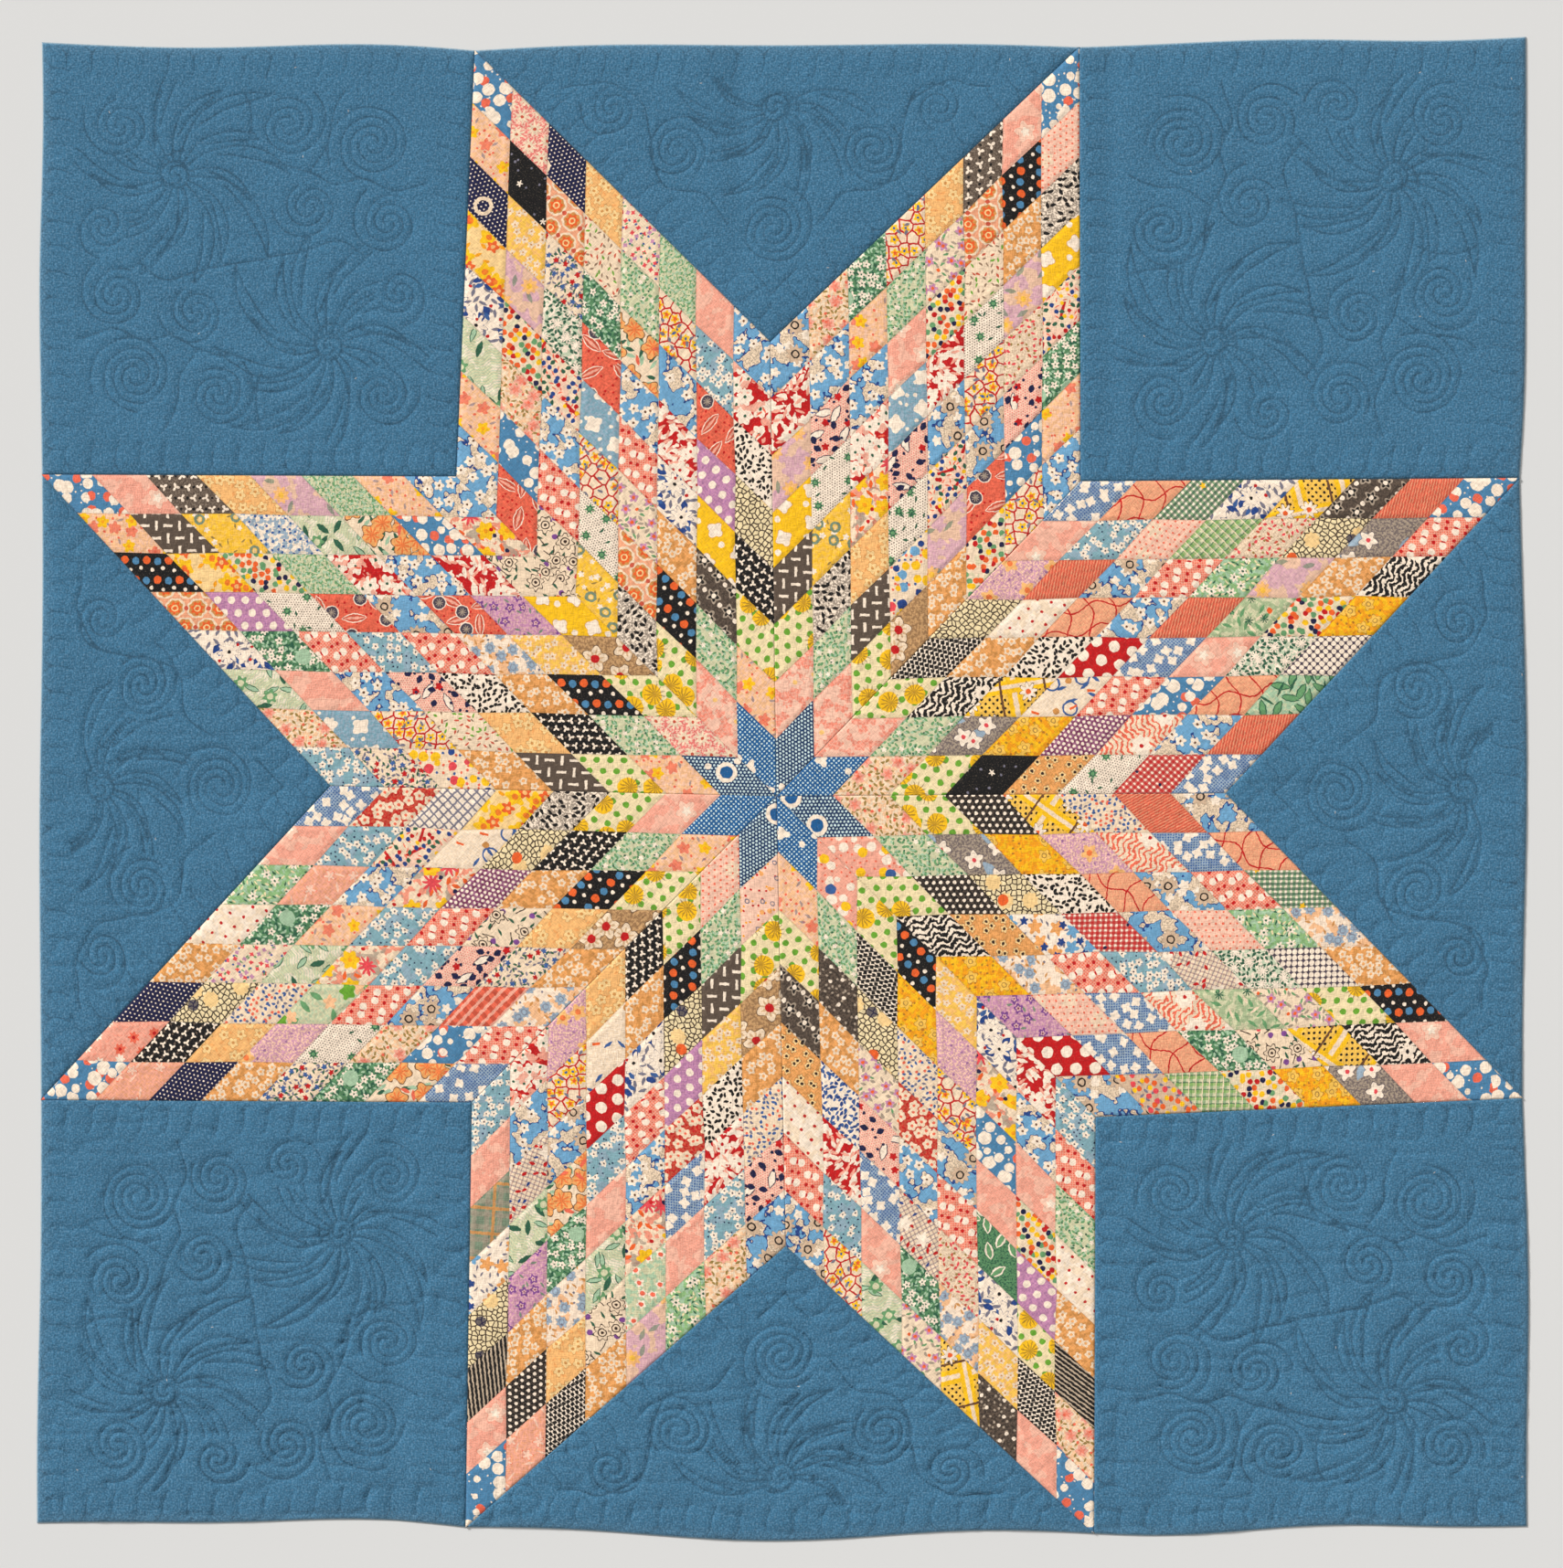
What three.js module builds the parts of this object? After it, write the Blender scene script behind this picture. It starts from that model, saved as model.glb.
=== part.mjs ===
// Star quilt: a pieced and quilted cotton throw, laid out flat and face up.
// Millimetres, +Z up. The underside lies on z = 0, and the origin is under the middle of the quilt's box.
// Each panel is drafted on a flat, exact plan of its own, and then eased onto the slightly uneven sewn quilt.
import * as THREE from 'three';
import { ConvexHull } from 'three/addons/math/ConvexHull.js';

// Driving dimensions
const PATCH_SIDE = 56;
const ROWS = 8;
const POINT_SIDE = PATCH_SIDE * ROWS;
const SEAM_GAP = 0.3;

// Heights above the surface that the quilt lies on
const LOFT = 4.9;
const STITCHED = 2.7;
const SEAM = 2.7;
const FOLDED_EDGE = 2.1;
const PATCH_CROWN = 4.5;

// Quilting: round scallops along every side of a blue panel, spirals, plumes and vines inside
const SCALLOP_PITCH = 27;
const SCALLOP_DEPTH = 34;
const SPIRAL_PITCH = 19;
const SPIRAL_STEP = 14;
const EYE_RADIUS = 14;
const PLUME_BEND = 0.7;
const PLUME_LENGTHS = [1, 0.78, 0.92, 0.66];
const VINE_STEP = 16;
const POINT_CLEARANCE = 8;
const FILL_SPACING = 28;
const FILL_CLEARANCE = 14;
const SLIVER_AREA = 1e-3;

// How much of its width a patch keeps as a level top
const PATCH_TOP_SHARE = 0.5;

const COLOURS = { blue_cotton: 0x46809f, pieced_cotton: 0xc7a59b };
const ROUGHNESS = 0.92;

// The drafted star: half the finished side, and how far the inner corners lie from the middle
const HALF = POINT_SIDE * (1 + Math.SQRT1_2);
const INNER = HALF - POINT_SIDE;

// Places in the drafted star, and how far the sewn quilt strays from each of them
const LANDMARKS = [
  { name: 'corner_nw', x: -HALF, y: HALF, east: 2, north: 5 },
  { name: 'corner_ne', x: HALF, y: HALF, east: 1, north: 10.5 },
  { name: 'corner_se', x: HALF, y: -HALF, east: 2, north: 5.5 },
  { name: 'corner_sw', x: -HALF, y: -HALF, east: -3, north: 9 },
  { name: 'tip_nw', x: -INNER, y: HALF, east: 0, north: -3.5 },
  { name: 'tip_ne', x: INNER, y: HALF, east: -11, north: 0 },
  { name: 'tip_en', x: HALF, y: INNER, east: -5.5, north: 4 },
  { name: 'tip_es', x: HALF, y: -INNER, east: -2.5, north: -1 },
  { name: 'tip_se', x: INNER, y: -HALF, east: 4, north: -2 },
  { name: 'tip_sw', x: -INNER, y: -HALF, east: -9.5, north: 4.5 },
  { name: 'tip_ws', x: -HALF, y: -INNER, east: 1, north: -3 },
  { name: 'tip_wn', x: -HALF, y: INNER, east: 2, north: 7.5 },
  { name: 'inner_nw', x: -INNER, y: INNER, east: -19, north: 5.5 },
  { name: 'inner_ne', x: INNER, y: INNER, east: -10, north: 0.5 },
  { name: 'inner_se', x: INNER, y: -INNER, east: 5.5, north: -20.5 },
  { name: 'inner_sw', x: -INNER, y: -INNER, east: -3, north: -5.5 },
  { name: 'notch_n', x: 0, y: POINT_SIDE, east: -12.5, north: 13 },
  { name: 'notch_e', x: POINT_SIDE, y: 0, east: 8, north: -4 },
  { name: 'notch_s', x: 0, y: -POINT_SIDE, east: 3.5, north: -22 },
  { name: 'notch_w', x: -POINT_SIDE, y: 0, east: -17.5, north: 3.5 },
  { name: 'middle', x: 0, y: 0, east: -6, north: -7 },
];

// The outer edge, clockwise, and how far it bows out of each straight stretch at its quarter points
const EDGE_BOWS = [
  { from: 'corner_nw', to: 'tip_nw', quarter: -2.6, half: 0, threeQuarters: 4.5 },
  { from: 'tip_nw', to: 'tip_ne', quarter: 5.4, half: 3.8, threeQuarters: 4.4 },
  { from: 'tip_ne', to: 'corner_ne', quarter: 2.1, half: 2.8, threeQuarters: -1.2 },
  { from: 'corner_ne', to: 'tip_en', quarter: 1.6, half: 2.8, threeQuarters: 4 },
  { from: 'tip_en', to: 'tip_es', quarter: 4, half: 6.1, threeQuarters: 2.1 },
  { from: 'tip_es', to: 'corner_se', quarter: 3.1, half: 4.2, threeQuarters: 1.2 },
  { from: 'corner_se', to: 'tip_se', quarter: -1.9, half: -4, threeQuarters: 2.4 },
  { from: 'tip_se', to: 'tip_sw', quarter: 0.2, half: 10.8, threeQuarters: 4 },
  { from: 'tip_sw', to: 'corner_sw', quarter: -7.3, half: -3.3, threeQuarters: -1.6 },
  { from: 'corner_sw', to: 'tip_ws', quarter: 0.9, half: -0.5, threeQuarters: -0.9 },
  { from: 'tip_ws', to: 'tip_wn', quarter: 1.5, half: 1.9, threeQuarters: -0.4 },
  { from: 'tip_wn', to: 'corner_nw', quarter: 1.9, half: 2.4, threeQuarters: -0.5 },
];

// Panels, each by the landmarks at its corners
const STAR_POINTS = [
  { name: 'star_point_nne', sideA: 'notch_n', tip: 'tip_ne', sideB: 'inner_ne' },
  { name: 'star_point_ene', sideA: 'inner_ne', tip: 'tip_en', sideB: 'notch_e' },
  { name: 'star_point_ese', sideA: 'notch_e', tip: 'tip_es', sideB: 'inner_se' },
  { name: 'star_point_sse', sideA: 'inner_se', tip: 'tip_se', sideB: 'notch_s' },
  { name: 'star_point_ssw', sideA: 'notch_s', tip: 'tip_sw', sideB: 'inner_sw' },
  { name: 'star_point_wsw', sideA: 'inner_sw', tip: 'tip_ws', sideB: 'notch_w' },
  { name: 'star_point_wnw', sideA: 'notch_w', tip: 'tip_wn', sideB: 'inner_nw' },
  { name: 'star_point_nnw', sideA: 'inner_nw', tip: 'tip_nw', sideB: 'notch_n' },
];
const CORNER_SQUARES = [
  { name: 'corner_square_nw', before: 'tip_wn', corner: 'corner_nw', after: 'tip_nw', inner: 'inner_nw' },
  { name: 'corner_square_ne', before: 'tip_ne', corner: 'corner_ne', after: 'tip_en', inner: 'inner_ne' },
  { name: 'corner_square_se', before: 'tip_es', corner: 'corner_se', after: 'tip_se', inner: 'inner_se' },
  { name: 'corner_square_sw', before: 'tip_sw', corner: 'corner_sw', after: 'tip_ws', inner: 'inner_sw' },
];
const SIDE_TRIANGLES = [
  { name: 'side_triangle_n', before: 'tip_nw', after: 'tip_ne', notch: 'notch_n' },
  { name: 'side_triangle_e', before: 'tip_en', after: 'tip_es', notch: 'notch_e' },
  { name: 'side_triangle_s', before: 'tip_se', after: 'tip_sw', notch: 'notch_s' },
  { name: 'side_triangle_w', before: 'tip_ws', after: 'tip_wn', notch: 'notch_w' },
];

// Old fold creases: soft troughs that run along x or y, between two places on that axis
const CREASES = [
  { along: 'y', at: -398, from: -790, to: -330, share: 0.45 },
  { along: 'y', at: -44, from: 510, to: 790, share: 0.42 },
  { along: 'y', at: -30, from: -790, to: -520, share: 0.25 },
  { along: 'y', at: 337, from: 340, to: 790, share: 0.36 },
  { along: 'y', at: 399, from: -790, to: -350, share: 0.25 },
  { along: 'x', at: -2, from: -790, to: -480, share: 0.32 },
  { along: 'x', at: -2, from: 470, to: 790, share: 0.32 },
  { along: 'x', at: -402, from: -790, to: -340, share: 0.22 },
  { along: 'x', at: -402, from: 340, to: 790, share: 0.22 },
];
const CREASE_WIDTH = 15;
const CREASE_FADE = 40;

// One scallop, in shares of its pitch along the side and of its depth into the panel
const SCALLOP_POINTS = [
  { along: 0, into: 0.46, height: STITCHED },
  { along: -0.16, into: 1, height: STITCHED },
  { along: 0.5, into: 0.46, height: LOFT },
  { along: 0.36, into: 1, height: LOFT },
];

// One plume of a fan, in shares of its length and of the angle to the next plume
const PLUME_POINTS = [
  { out: 0.36, turn: 0, height: STITCHED },
  { out: 0.56, turn: 0, height: STITCHED },
  { out: 0.78, turn: 0, height: STITCHED },
  { out: 1, turn: 0, height: STITCHED },
  { out: 0.66, turn: 0.5, height: LOFT },
  { out: 0.9, turn: 0.5, height: LOFT },
];

// Fans of plumes on the plan of a square and of a triangle, with their first angle and sweep in half turns
const SQUARE_FANS = [
  { x: 134, y: 308, start: -0.94, sweep: 1.88, plumes: 18, length: 132 },
  { x: 314, y: 140, start: 0.06, sweep: 1.88, plumes: 18, length: 132 },
];
const TRIANGLE_FANS = [{ x: 317, y: 66, start: -0.16, sweep: 1.2, plumes: 13, length: 116 }];
const SQUARE_SPIRALS = [
  { x: 104, y: 102, radius: 38 },
  { x: 186, y: 82, radius: 30 },
  { x: 84, y: 190, radius: 30 },
  { x: 170, y: 166, radius: 27 },
  { x: 344, y: 346, radius: 38 },
  { x: 262, y: 366, radius: 30 },
  { x: 364, y: 258, radius: 30 },
  { x: 278, y: 282, radius: 27 },
  { x: 84, y: 366, radius: 28 },
  { x: 364, y: 82, radius: 28 },
  { x: 258, y: 68, radius: 22 },
  { x: 190, y: 380, radius: 22 },
];
const TRIANGLE_SPIRALS = [
  { x: 317, y: 196, radius: 36 },
  { x: 214, y: 112, radius: 31 },
  { x: 420, y: 112, radius: 31 },
  { x: 146, y: 68, radius: 23 },
  { x: 488, y: 68, radius: 23 },
];

// The longest vines that wander between the motifs
const SQUARE_VINES = [
  [
    [220, 106],
    [204, 134],
    [216, 176],
    [224, 224],
    [232, 272],
    [244, 314],
    [228, 342],
  ],
  [
    [142, 44],
    [152, 80],
    [140, 112],
    [146, 140],
    [132, 168],
    [122, 212],
  ],
  [
    [306, 404],
    [296, 368],
    [308, 336],
    [302, 308],
    [316, 280],
    [326, 236],
  ],
];
const TRIANGLE_VINES = [
  [
    [92, 44],
    [140, 40],
    [176, 62],
    [184, 92],
    [200, 148],
    [244, 158],
    [268, 190],
  ],
  [
    [542, 44],
    [494, 40],
    [458, 62],
    [450, 92],
    [434, 148],
    [390, 158],
    [366, 190],
  ],
];

const places = new Map(
  LANDMARKS.map((mark) => [mark.name, new THREE.Vector2(mark.x + mark.east, mark.y + mark.north)]),
);

// How far the outer edge that leaves a landmark bows outward, at a share of the way to the next one
function edgeBow(from, share) {
  const row = EDGE_BOWS.find((bow) => bow.from === from);
  const level = (row.quarter + row.threeQuarters) / (2 * Math.SQRT1_2);
  const one = (level + row.half) / 2;
  const two = (row.quarter - row.threeQuarters) / 2;
  const three = (level - row.half) / 2;
  const turn = Math.PI * share;
  const out = one * Math.sin(turn) + two * Math.sin(2 * turn) + three * Math.sin(3 * turn);
  const way = places.get(row.to).clone().sub(places.get(from)).normalize();
  return new THREE.Vector2(-way.y, way.x).multiplyScalar(out);
}

function blend(corners, shares) {
  const sum = new THREE.Vector2();
  corners.forEach((name, i) => sum.addScaledVector(places.get(name), shares[i]));
  return sum;
}

// Where a point of a square's plan lies on the quilt: x runs along the edge before the corner, y after it
function onSquare(panel, point) {
  const x = point.x / POINT_SIDE;
  const y = point.y / POINT_SIDE;
  const corners = [panel.before, panel.corner, panel.after, panel.inner];
  const shares = [(1 - x) * (1 - y), x * (1 - y), x * y, (1 - x) * y];
  const place = blend(corners, shares);
  place.addScaledVector(edgeBow(panel.before, x), 1 - y);
  return place.addScaledVector(edgeBow(panel.corner, y), x);
}

// Where a point of a triangle's plan lies on the quilt: x runs along the outer edge, y in towards the notch
function onTriangle(panel, point) {
  const notch = point.y / INNER;
  const after = (point.x - point.y) / (2 * INNER);
  const place = blend([panel.before, panel.after, panel.notch], [1 - notch - after, after, notch]);
  const outer = 1 - notch;
  return place.addScaledVector(edgeBow(panel.before, after / outer), outer * outer);
}

function onStarPoint(panel, x, y) {
  const corners = ['middle', panel.sideA, panel.tip, panel.sideB];
  return blend(corners, [(1 - x) * (1 - y), x * (1 - y), x * y, (1 - x) * y]);
}

// What share of its height the quilt keeps where old creases cross it
function creased(place) {
  let share = 1;
  for (const crease of CREASES) {
    const across = crease.along === 'y' ? place.x : place.y;
    const along = crease.along === 'y' ? place.y : place.x;
    const start = THREE.MathUtils.smoothstep(along, crease.from, crease.from + CREASE_FADE);
    const end = 1 - THREE.MathUtils.smoothstep(along, crease.to - CREASE_FADE, crease.to);
    const trough = Math.exp(-(((across - crease.at) / CREASE_WIDTH) ** 2));
    share -= crease.share * trough * start * end;
  }
  return share;
}

// The sides of a plan, given its corners counterclockwise
function sidesOf(corners) {
  return corners.map((start, i) => {
    const along = corners[(i + 1) % corners.length].clone().sub(start);
    const length = along.length();
    along.divideScalar(length);
    return { start, along, length, inward: new THREE.Vector2(-along.y, along.x) };
  });
}

function depthFrom(side, point) {
  return point.clone().sub(side.start).dot(side.inward);
}

// A plan's face: points with heights, none of them close to an earlier one
class Face {
  constructor(sides) {
    this.sides = sides;
    this.points = [];
    this.heights = [];
  }

  add(point, height, clearance = POINT_CLEARANCE) {
    const inside = this.sides.every((side) => depthFrom(side, point) > clearance);
    const free = this.points.every((other) => other.distanceTo(point) > clearance);
    if (inside && free) this.put(point, height);
  }

  put(point, height) {
    this.points.push(point);
    this.heights.push(height);
  }
}

// The rim of a face, side by side, with a point between each two scallops
function rim(face, sideHeights) {
  face.sides.forEach((side, i) => {
    const scallops = Math.round(side.length / SCALLOP_PITCH);
    const next = sideHeights[(i + sideHeights.length - 1) % sideHeights.length];
    for (let k = 0; k < scallops; k++) {
      const point = side.start.clone().addScaledVector(side.along, (side.length * k) / scallops);
      face.put(point, k === 0 ? Math.min(sideHeights[i], next) : sideHeights[i]);
    }
  });
  return face.points.length;
}

// Scallops lean along each side, and stop where those of the next side are nearer
function scallops(face) {
  for (const side of face.sides) {
    const count = Math.round(side.length / SCALLOP_PITCH);
    const pitch = side.length / count;
    for (let k = 0; k < count; k++) {
      for (const row of SCALLOP_POINTS) {
        const depth = row.into * SCALLOP_DEPTH;
        const point = side.start.clone();
        point.addScaledVector(side.along, (k + row.along) * pitch);
        point.addScaledVector(side.inward, depth);
        const nearest = face.sides.every((other) => depthFrom(other, point) >= depth - 1);
        if (nearest) face.add(point, row.height);
      }
    }
  }
}

function polar(middle, radius, angle) {
  return new THREE.Vector2(middle.x + radius * Math.cos(angle), middle.y + radius * Math.sin(angle));
}

// A stitched spiral, with raised cloth between its turns
function spiral(face, middle, radius, hand) {
  const growth = SPIRAL_PITCH / (2 * Math.PI);
  const outermost = radius / growth;
  for (let angle = Math.PI; angle <= outermost; angle += SPIRAL_STEP / (growth * angle)) {
    face.add(polar(middle, growth * angle, hand * angle), STITCHED);
  }
  face.add(middle, LOFT);
  for (let angle = Math.PI; angle <= outermost - Math.PI; angle += SPIRAL_STEP / (growth * angle)) {
    face.add(polar(middle, growth * (angle + Math.PI), hand * angle), LOFT);
  }
}

// A small stitched eye with bent plumes fanned round it
function fan(face, row) {
  const middle = new THREE.Vector2(row.x, row.y);
  const start = Math.PI * row.start;
  const step = (Math.PI * row.sweep) / (row.plumes - 1);
  face.add(middle, LOFT);
  for (let angle = 0; angle < 2 * Math.PI; angle += Math.PI / 4) {
    face.add(polar(middle, EYE_RADIUS, angle), STITCHED);
  }
  for (let k = 0; k < row.plumes; k++) {
    const reach = row.length * PLUME_LENGTHS[k % PLUME_LENGTHS.length];
    for (const spot of PLUME_POINTS) {
      const angle = start + (k + spot.turn) * step + PLUME_BEND * spot.out ** 2;
      face.add(polar(middle, spot.out * reach, angle), spot.height);
    }
  }
}

// A stitched vine through a list of points
function vine(face, points) {
  const curve = new THREE.SplineCurve(points.map(([x, y]) => new THREE.Vector2(x, y)));
  const steps = Math.round(curve.getLength() / VINE_STEP);
  for (const point of curve.getSpacedPoints(steps)) face.add(point, STITCHED);
}

// Everything that is quilted into a blue panel, given its own motifs
function quilting(face, spirals, fans, vines) {
  spirals.forEach((row, i) => {
    spiral(face, new THREE.Vector2(row.x, row.y), row.radius, i % 2 ? 1 : -1);
  });
  for (const row of fans) fan(face, row);
  for (const points of vines) vine(face, points);
  scallops(face);
}

// Raised cloth in what is left between the motifs
function fill(face, width, height) {
  for (let x = FILL_SPACING / 2; x < width; x += FILL_SPACING) {
    for (let y = FILL_SPACING / 2; y < height; y += FILL_SPACING) {
      face.add(new THREE.Vector2(x, y), LOFT, FILL_CLEARANCE);
    }
  }
}

// Triangles between plan points: the underside of the hull of the points lifted onto a bowl
function triangulate(points) {
  const lift = (point) => new THREE.Vector3(point.x, point.y, point.lengthSq() / POINT_SIDE);
  const lifted = points.map(lift);
  const index = new Map(lifted.map((point, i) => [point, i]));
  const triangles = [];
  for (const face of new ConvexHull().setFromPoints(lifted).faces) {
    const corners = [0, 1, 2].map((k) => index.get(face.getEdge(k).head().point));
    const [a, b, c] = corners.map((i) => points[i]);
    const doubleArea = b.clone().sub(a).cross(c.clone().sub(a));
    if (face.normal.z < 0 && Math.abs(doubleArea) > SLIVER_AREA) {
      triangles.push(doubleArea > 0 ? corners : corners.reverse());
    }
  }
  return triangles;
}

// A closed solid from a top with its rim first and counterclockwise, dropped to z = 0
function solidGeometry(tops, triangles, rimOrder) {
  const vertices = tops.map((top) => top.clone());
  const indices = triangles.flat();
  const middle = new THREE.Vector3();
  const feet = rimOrder.map((i) => {
    const foot = new THREE.Vector3(tops[i].x, tops[i].y, 0);
    middle.addScaledVector(foot, 1 / rimOrder.length);
    vertices.push(foot);
    return vertices.length - 1;
  });
  vertices.push(middle);
  const centre = vertices.length - 1;
  rimOrder.forEach((top, k) => {
    const next = (k + 1) % rimOrder.length;
    indices.push(feet[k], feet[next], rimOrder[next]);
    indices.push(feet[k], rimOrder[next], top);
    indices.push(feet[next], feet[k], centre);
  });
  const geometry = new THREE.BufferGeometry().setFromPoints(vertices);
  geometry.setIndex(indices);
  geometry.computeVertexNormals();
  return geometry;
}

function mesh(name, geometry, cloth) {
  const finish = { color: COLOURS[cloth], roughness: ROUGHNESS, metalness: 0 };
  const made = new THREE.Mesh(geometry, new THREE.MeshStandardMaterial(finish));
  made.name = name;
  return made;
}

// A quilted blue panel from its face and the way from its plan to the quilt
function bluePanel(name, face, rimCount, toQuilt) {
  const tops = face.points.map((point, i) => {
    const place = toQuilt(point);
    return new THREE.Vector3(place.x, place.y, face.heights[i] * creased(place));
  });
  const rimOrder = [...Array(rimCount).keys()];
  const triangles = facingUp(tops, triangulate(face.points), rimOrder);
  return mesh(name, solidGeometry(tops, triangles, rimOrder), 'blue_cotton');
}

// A plan may come out clockwise on the quilt: then its triangles and its rim are turned round
function facingUp(tops, triangles, rimOrder) {
  const outline = rimOrder.map((i) => new THREE.Vector2(tops[i].x, tops[i].y));
  if (THREE.ShapeUtils.area(outline) > 0) return triangles;
  rimOrder.reverse();
  return triangles.map((corners) => [...corners].reverse());
}

// A plan corner moved in so that both of its sides leave half of the seam gap
function inset(corners) {
  const half = SEAM_GAP / 2;
  return corners.map((corner, i) => {
    const before = corners[(i + corners.length - 1) % corners.length].clone().sub(corner).normalize();
    const after = corners[(i + 1) % corners.length].clone().sub(corner).normalize();
    const sine = Math.abs(before.cross(after));
    return corner.clone().addScaledVector(before.add(after), half / sine);
  });
}

function cornerSquare(panel) {
  const side = POINT_SIDE;
  const plan = [
    [0, 0],
    [side, 0],
    [side, side],
    [0, side],
  ];
  const face = new Face(sidesOf(inset(plan.map(([x, y]) => new THREE.Vector2(x, y)))));
  const rimCount = rim(face, [FOLDED_EDGE, FOLDED_EDGE, SEAM, SEAM]);
  quilting(face, SQUARE_SPIRALS, SQUARE_FANS, SQUARE_VINES);
  fill(face, side, side);
  return bluePanel(panel.name, face, rimCount, (point) => onSquare(panel, point));
}

function sideTriangle(panel) {
  const base = 2 * INNER;
  const plan = [
    [0, 0],
    [base, 0],
    [INNER, INNER],
  ];
  const face = new Face(sidesOf(inset(plan.map(([x, y]) => new THREE.Vector2(x, y)))));
  const rimCount = rim(face, [FOLDED_EDGE, SEAM, SEAM]);
  quilting(face, TRIANGLE_SPIRALS, TRIANGLE_FANS, TRIANGLE_VINES);
  fill(face, base, INNER);
  return bluePanel(panel.name, face, rimCount, (point) => onTriangle(panel, point));
}

// A star point: a lattice of seams with a low crowned patch in each cell
function starPoint(panel) {
  const margin = SEAM_GAP / 2 / Math.SQRT1_2 / POINT_SIDE;
  const tops = [];
  const triangles = [];
  const vertex = (i, j, height) => {
    const x = THREE.MathUtils.clamp(i / ROWS, margin, 1 - margin);
    const y = THREE.MathUtils.clamp(j / ROWS, margin, 1 - margin);
    const place = onStarPoint(panel, x, y);
    tops.push(new THREE.Vector3(place.x, place.y, height));
    return tops.length - 1;
  };
  const lattice = [];
  for (let i = 0; i <= ROWS; i++) {
    lattice.push([]);
    for (let j = 0; j <= ROWS; j++) lattice[i].push(vertex(i, j, SEAM));
  }
  const near = (1 - PATCH_TOP_SHARE) / 2;
  const far = 1 - near;
  for (let i = 0; i < ROWS; i++) {
    for (let j = 0; j < ROWS; j++) {
      const seams = [lattice[i][j], lattice[i][j + 1], lattice[i + 1][j + 1], lattice[i + 1][j]];
      const top = [
        vertex(i + near, j + near, PATCH_CROWN),
        vertex(i + near, j + far, PATCH_CROWN),
        vertex(i + far, j + far, PATCH_CROWN),
        vertex(i + far, j + near, PATCH_CROWN),
      ];
      for (let k = 0; k < 4; k++) {
        const next = (k + 1) % 4;
        triangles.push([seams[k], seams[next], top[next]], [seams[k], top[next], top[k]]);
      }
      triangles.push([top[0], top[1], top[3]], [top[1], top[2], top[3]]);
    }
  }
  const rimOrder = [];
  for (let k = 0; k < ROWS; k++) rimOrder.push(lattice[0][k]);
  for (let k = 0; k < ROWS; k++) rimOrder.push(lattice[k][ROWS]);
  for (let k = ROWS; k > 0; k--) rimOrder.push(lattice[ROWS][k]);
  for (let k = ROWS; k > 0; k--) rimOrder.push(lattice[k][0]);
  const facing = facingUp(tops, triangles, rimOrder);
  return mesh(panel.name, solidGeometry(tops, facing, rimOrder), 'pieced_cotton');
}

const quilt = new THREE.Group();
quilt.add(...STAR_POINTS.map(starPoint));
quilt.add(...CORNER_SQUARES.map(cornerSquare));
quilt.add(...SIDE_TRIANGLES.map(sideTriangle));

const boxMiddle = new THREE.Box3().setFromObject(quilt).getCenter(new THREE.Vector3());
quilt.position.set(-boxMiddle.x, -boxMiddle.y, 0);

export default quilt;
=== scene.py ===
"""Looks of the star quilt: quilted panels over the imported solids, printed patchwork, camera and light."""

import itertools
import math

import bpy
import numpy as np
from mathutils.kdtree import KDTree
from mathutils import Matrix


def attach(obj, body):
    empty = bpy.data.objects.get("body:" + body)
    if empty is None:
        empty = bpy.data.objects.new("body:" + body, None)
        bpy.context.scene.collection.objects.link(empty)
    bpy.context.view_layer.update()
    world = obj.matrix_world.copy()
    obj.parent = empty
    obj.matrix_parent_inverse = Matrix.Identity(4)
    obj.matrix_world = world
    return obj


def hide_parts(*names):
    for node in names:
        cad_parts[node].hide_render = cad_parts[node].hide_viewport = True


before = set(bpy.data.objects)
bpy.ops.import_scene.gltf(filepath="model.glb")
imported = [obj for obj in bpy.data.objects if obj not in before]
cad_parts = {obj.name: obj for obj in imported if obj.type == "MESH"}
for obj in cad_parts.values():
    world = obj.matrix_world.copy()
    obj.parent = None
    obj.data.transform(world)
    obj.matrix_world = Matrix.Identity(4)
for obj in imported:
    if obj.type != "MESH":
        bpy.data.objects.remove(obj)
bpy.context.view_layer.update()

MM = 0.001

# Driving dimensions, in millimetres
PATCH_SIDE = 56.0
ROWS = 8
POINT_SIDE = PATCH_SIDE * ROWS
HALF = POINT_SIDE * (1 + math.sqrt(0.5))
INNER = HALF - POINT_SIDE
SLANT = math.sin(math.pi / 4)
PATCH_STRAY = 1.6

# Heights above the floor, in millimetres
LOFT = 4.9
STITCHED = 2.7
SEAM = 2.7
FOLD = 2.4
RIM = 0.5
THINNEST = 0.8
PATCH_CROWN = 4.3
PATCH_DIP = 0.9

# How heights run, in millimetres: shares and reaches of the dip beside a stitch, the reach of a seam's
# dip, and the roll and the reach of the folded edge
STITCH_DIPS = ((0.84, 1.6), (0.16, 7))
SEAM_REACH = 3.5
EDGE_ROLL = 3
EDGE_REACH = 9

# Unevenness of the blue panels: its share at the quilt's middle, and what its lower side adds
PANEL_RELIEF = (0.72, 0.28)
PANEL_CRUMPLE = (0.62, 0.4)
# Crinkles, swells and thin puckers of a blue panel: height and wavelength
PANEL_CRINKLE = (0.7, 9)
PANEL_SWELL = (0.7, 36)
PANEL_PUCKER = (1.7, 16)
PUCKER_THINNESS = 6
PUCKER_STRETCH = (0.35, 1)
CALM_MARGIN = 6
# Crinkles fade away from a stitch or a seam: the reach, and the share that is left on panels and patches
CRINKLE_REACH = 9
PANEL_CALM = 0.35
PATCH_CALM = 0.3

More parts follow.
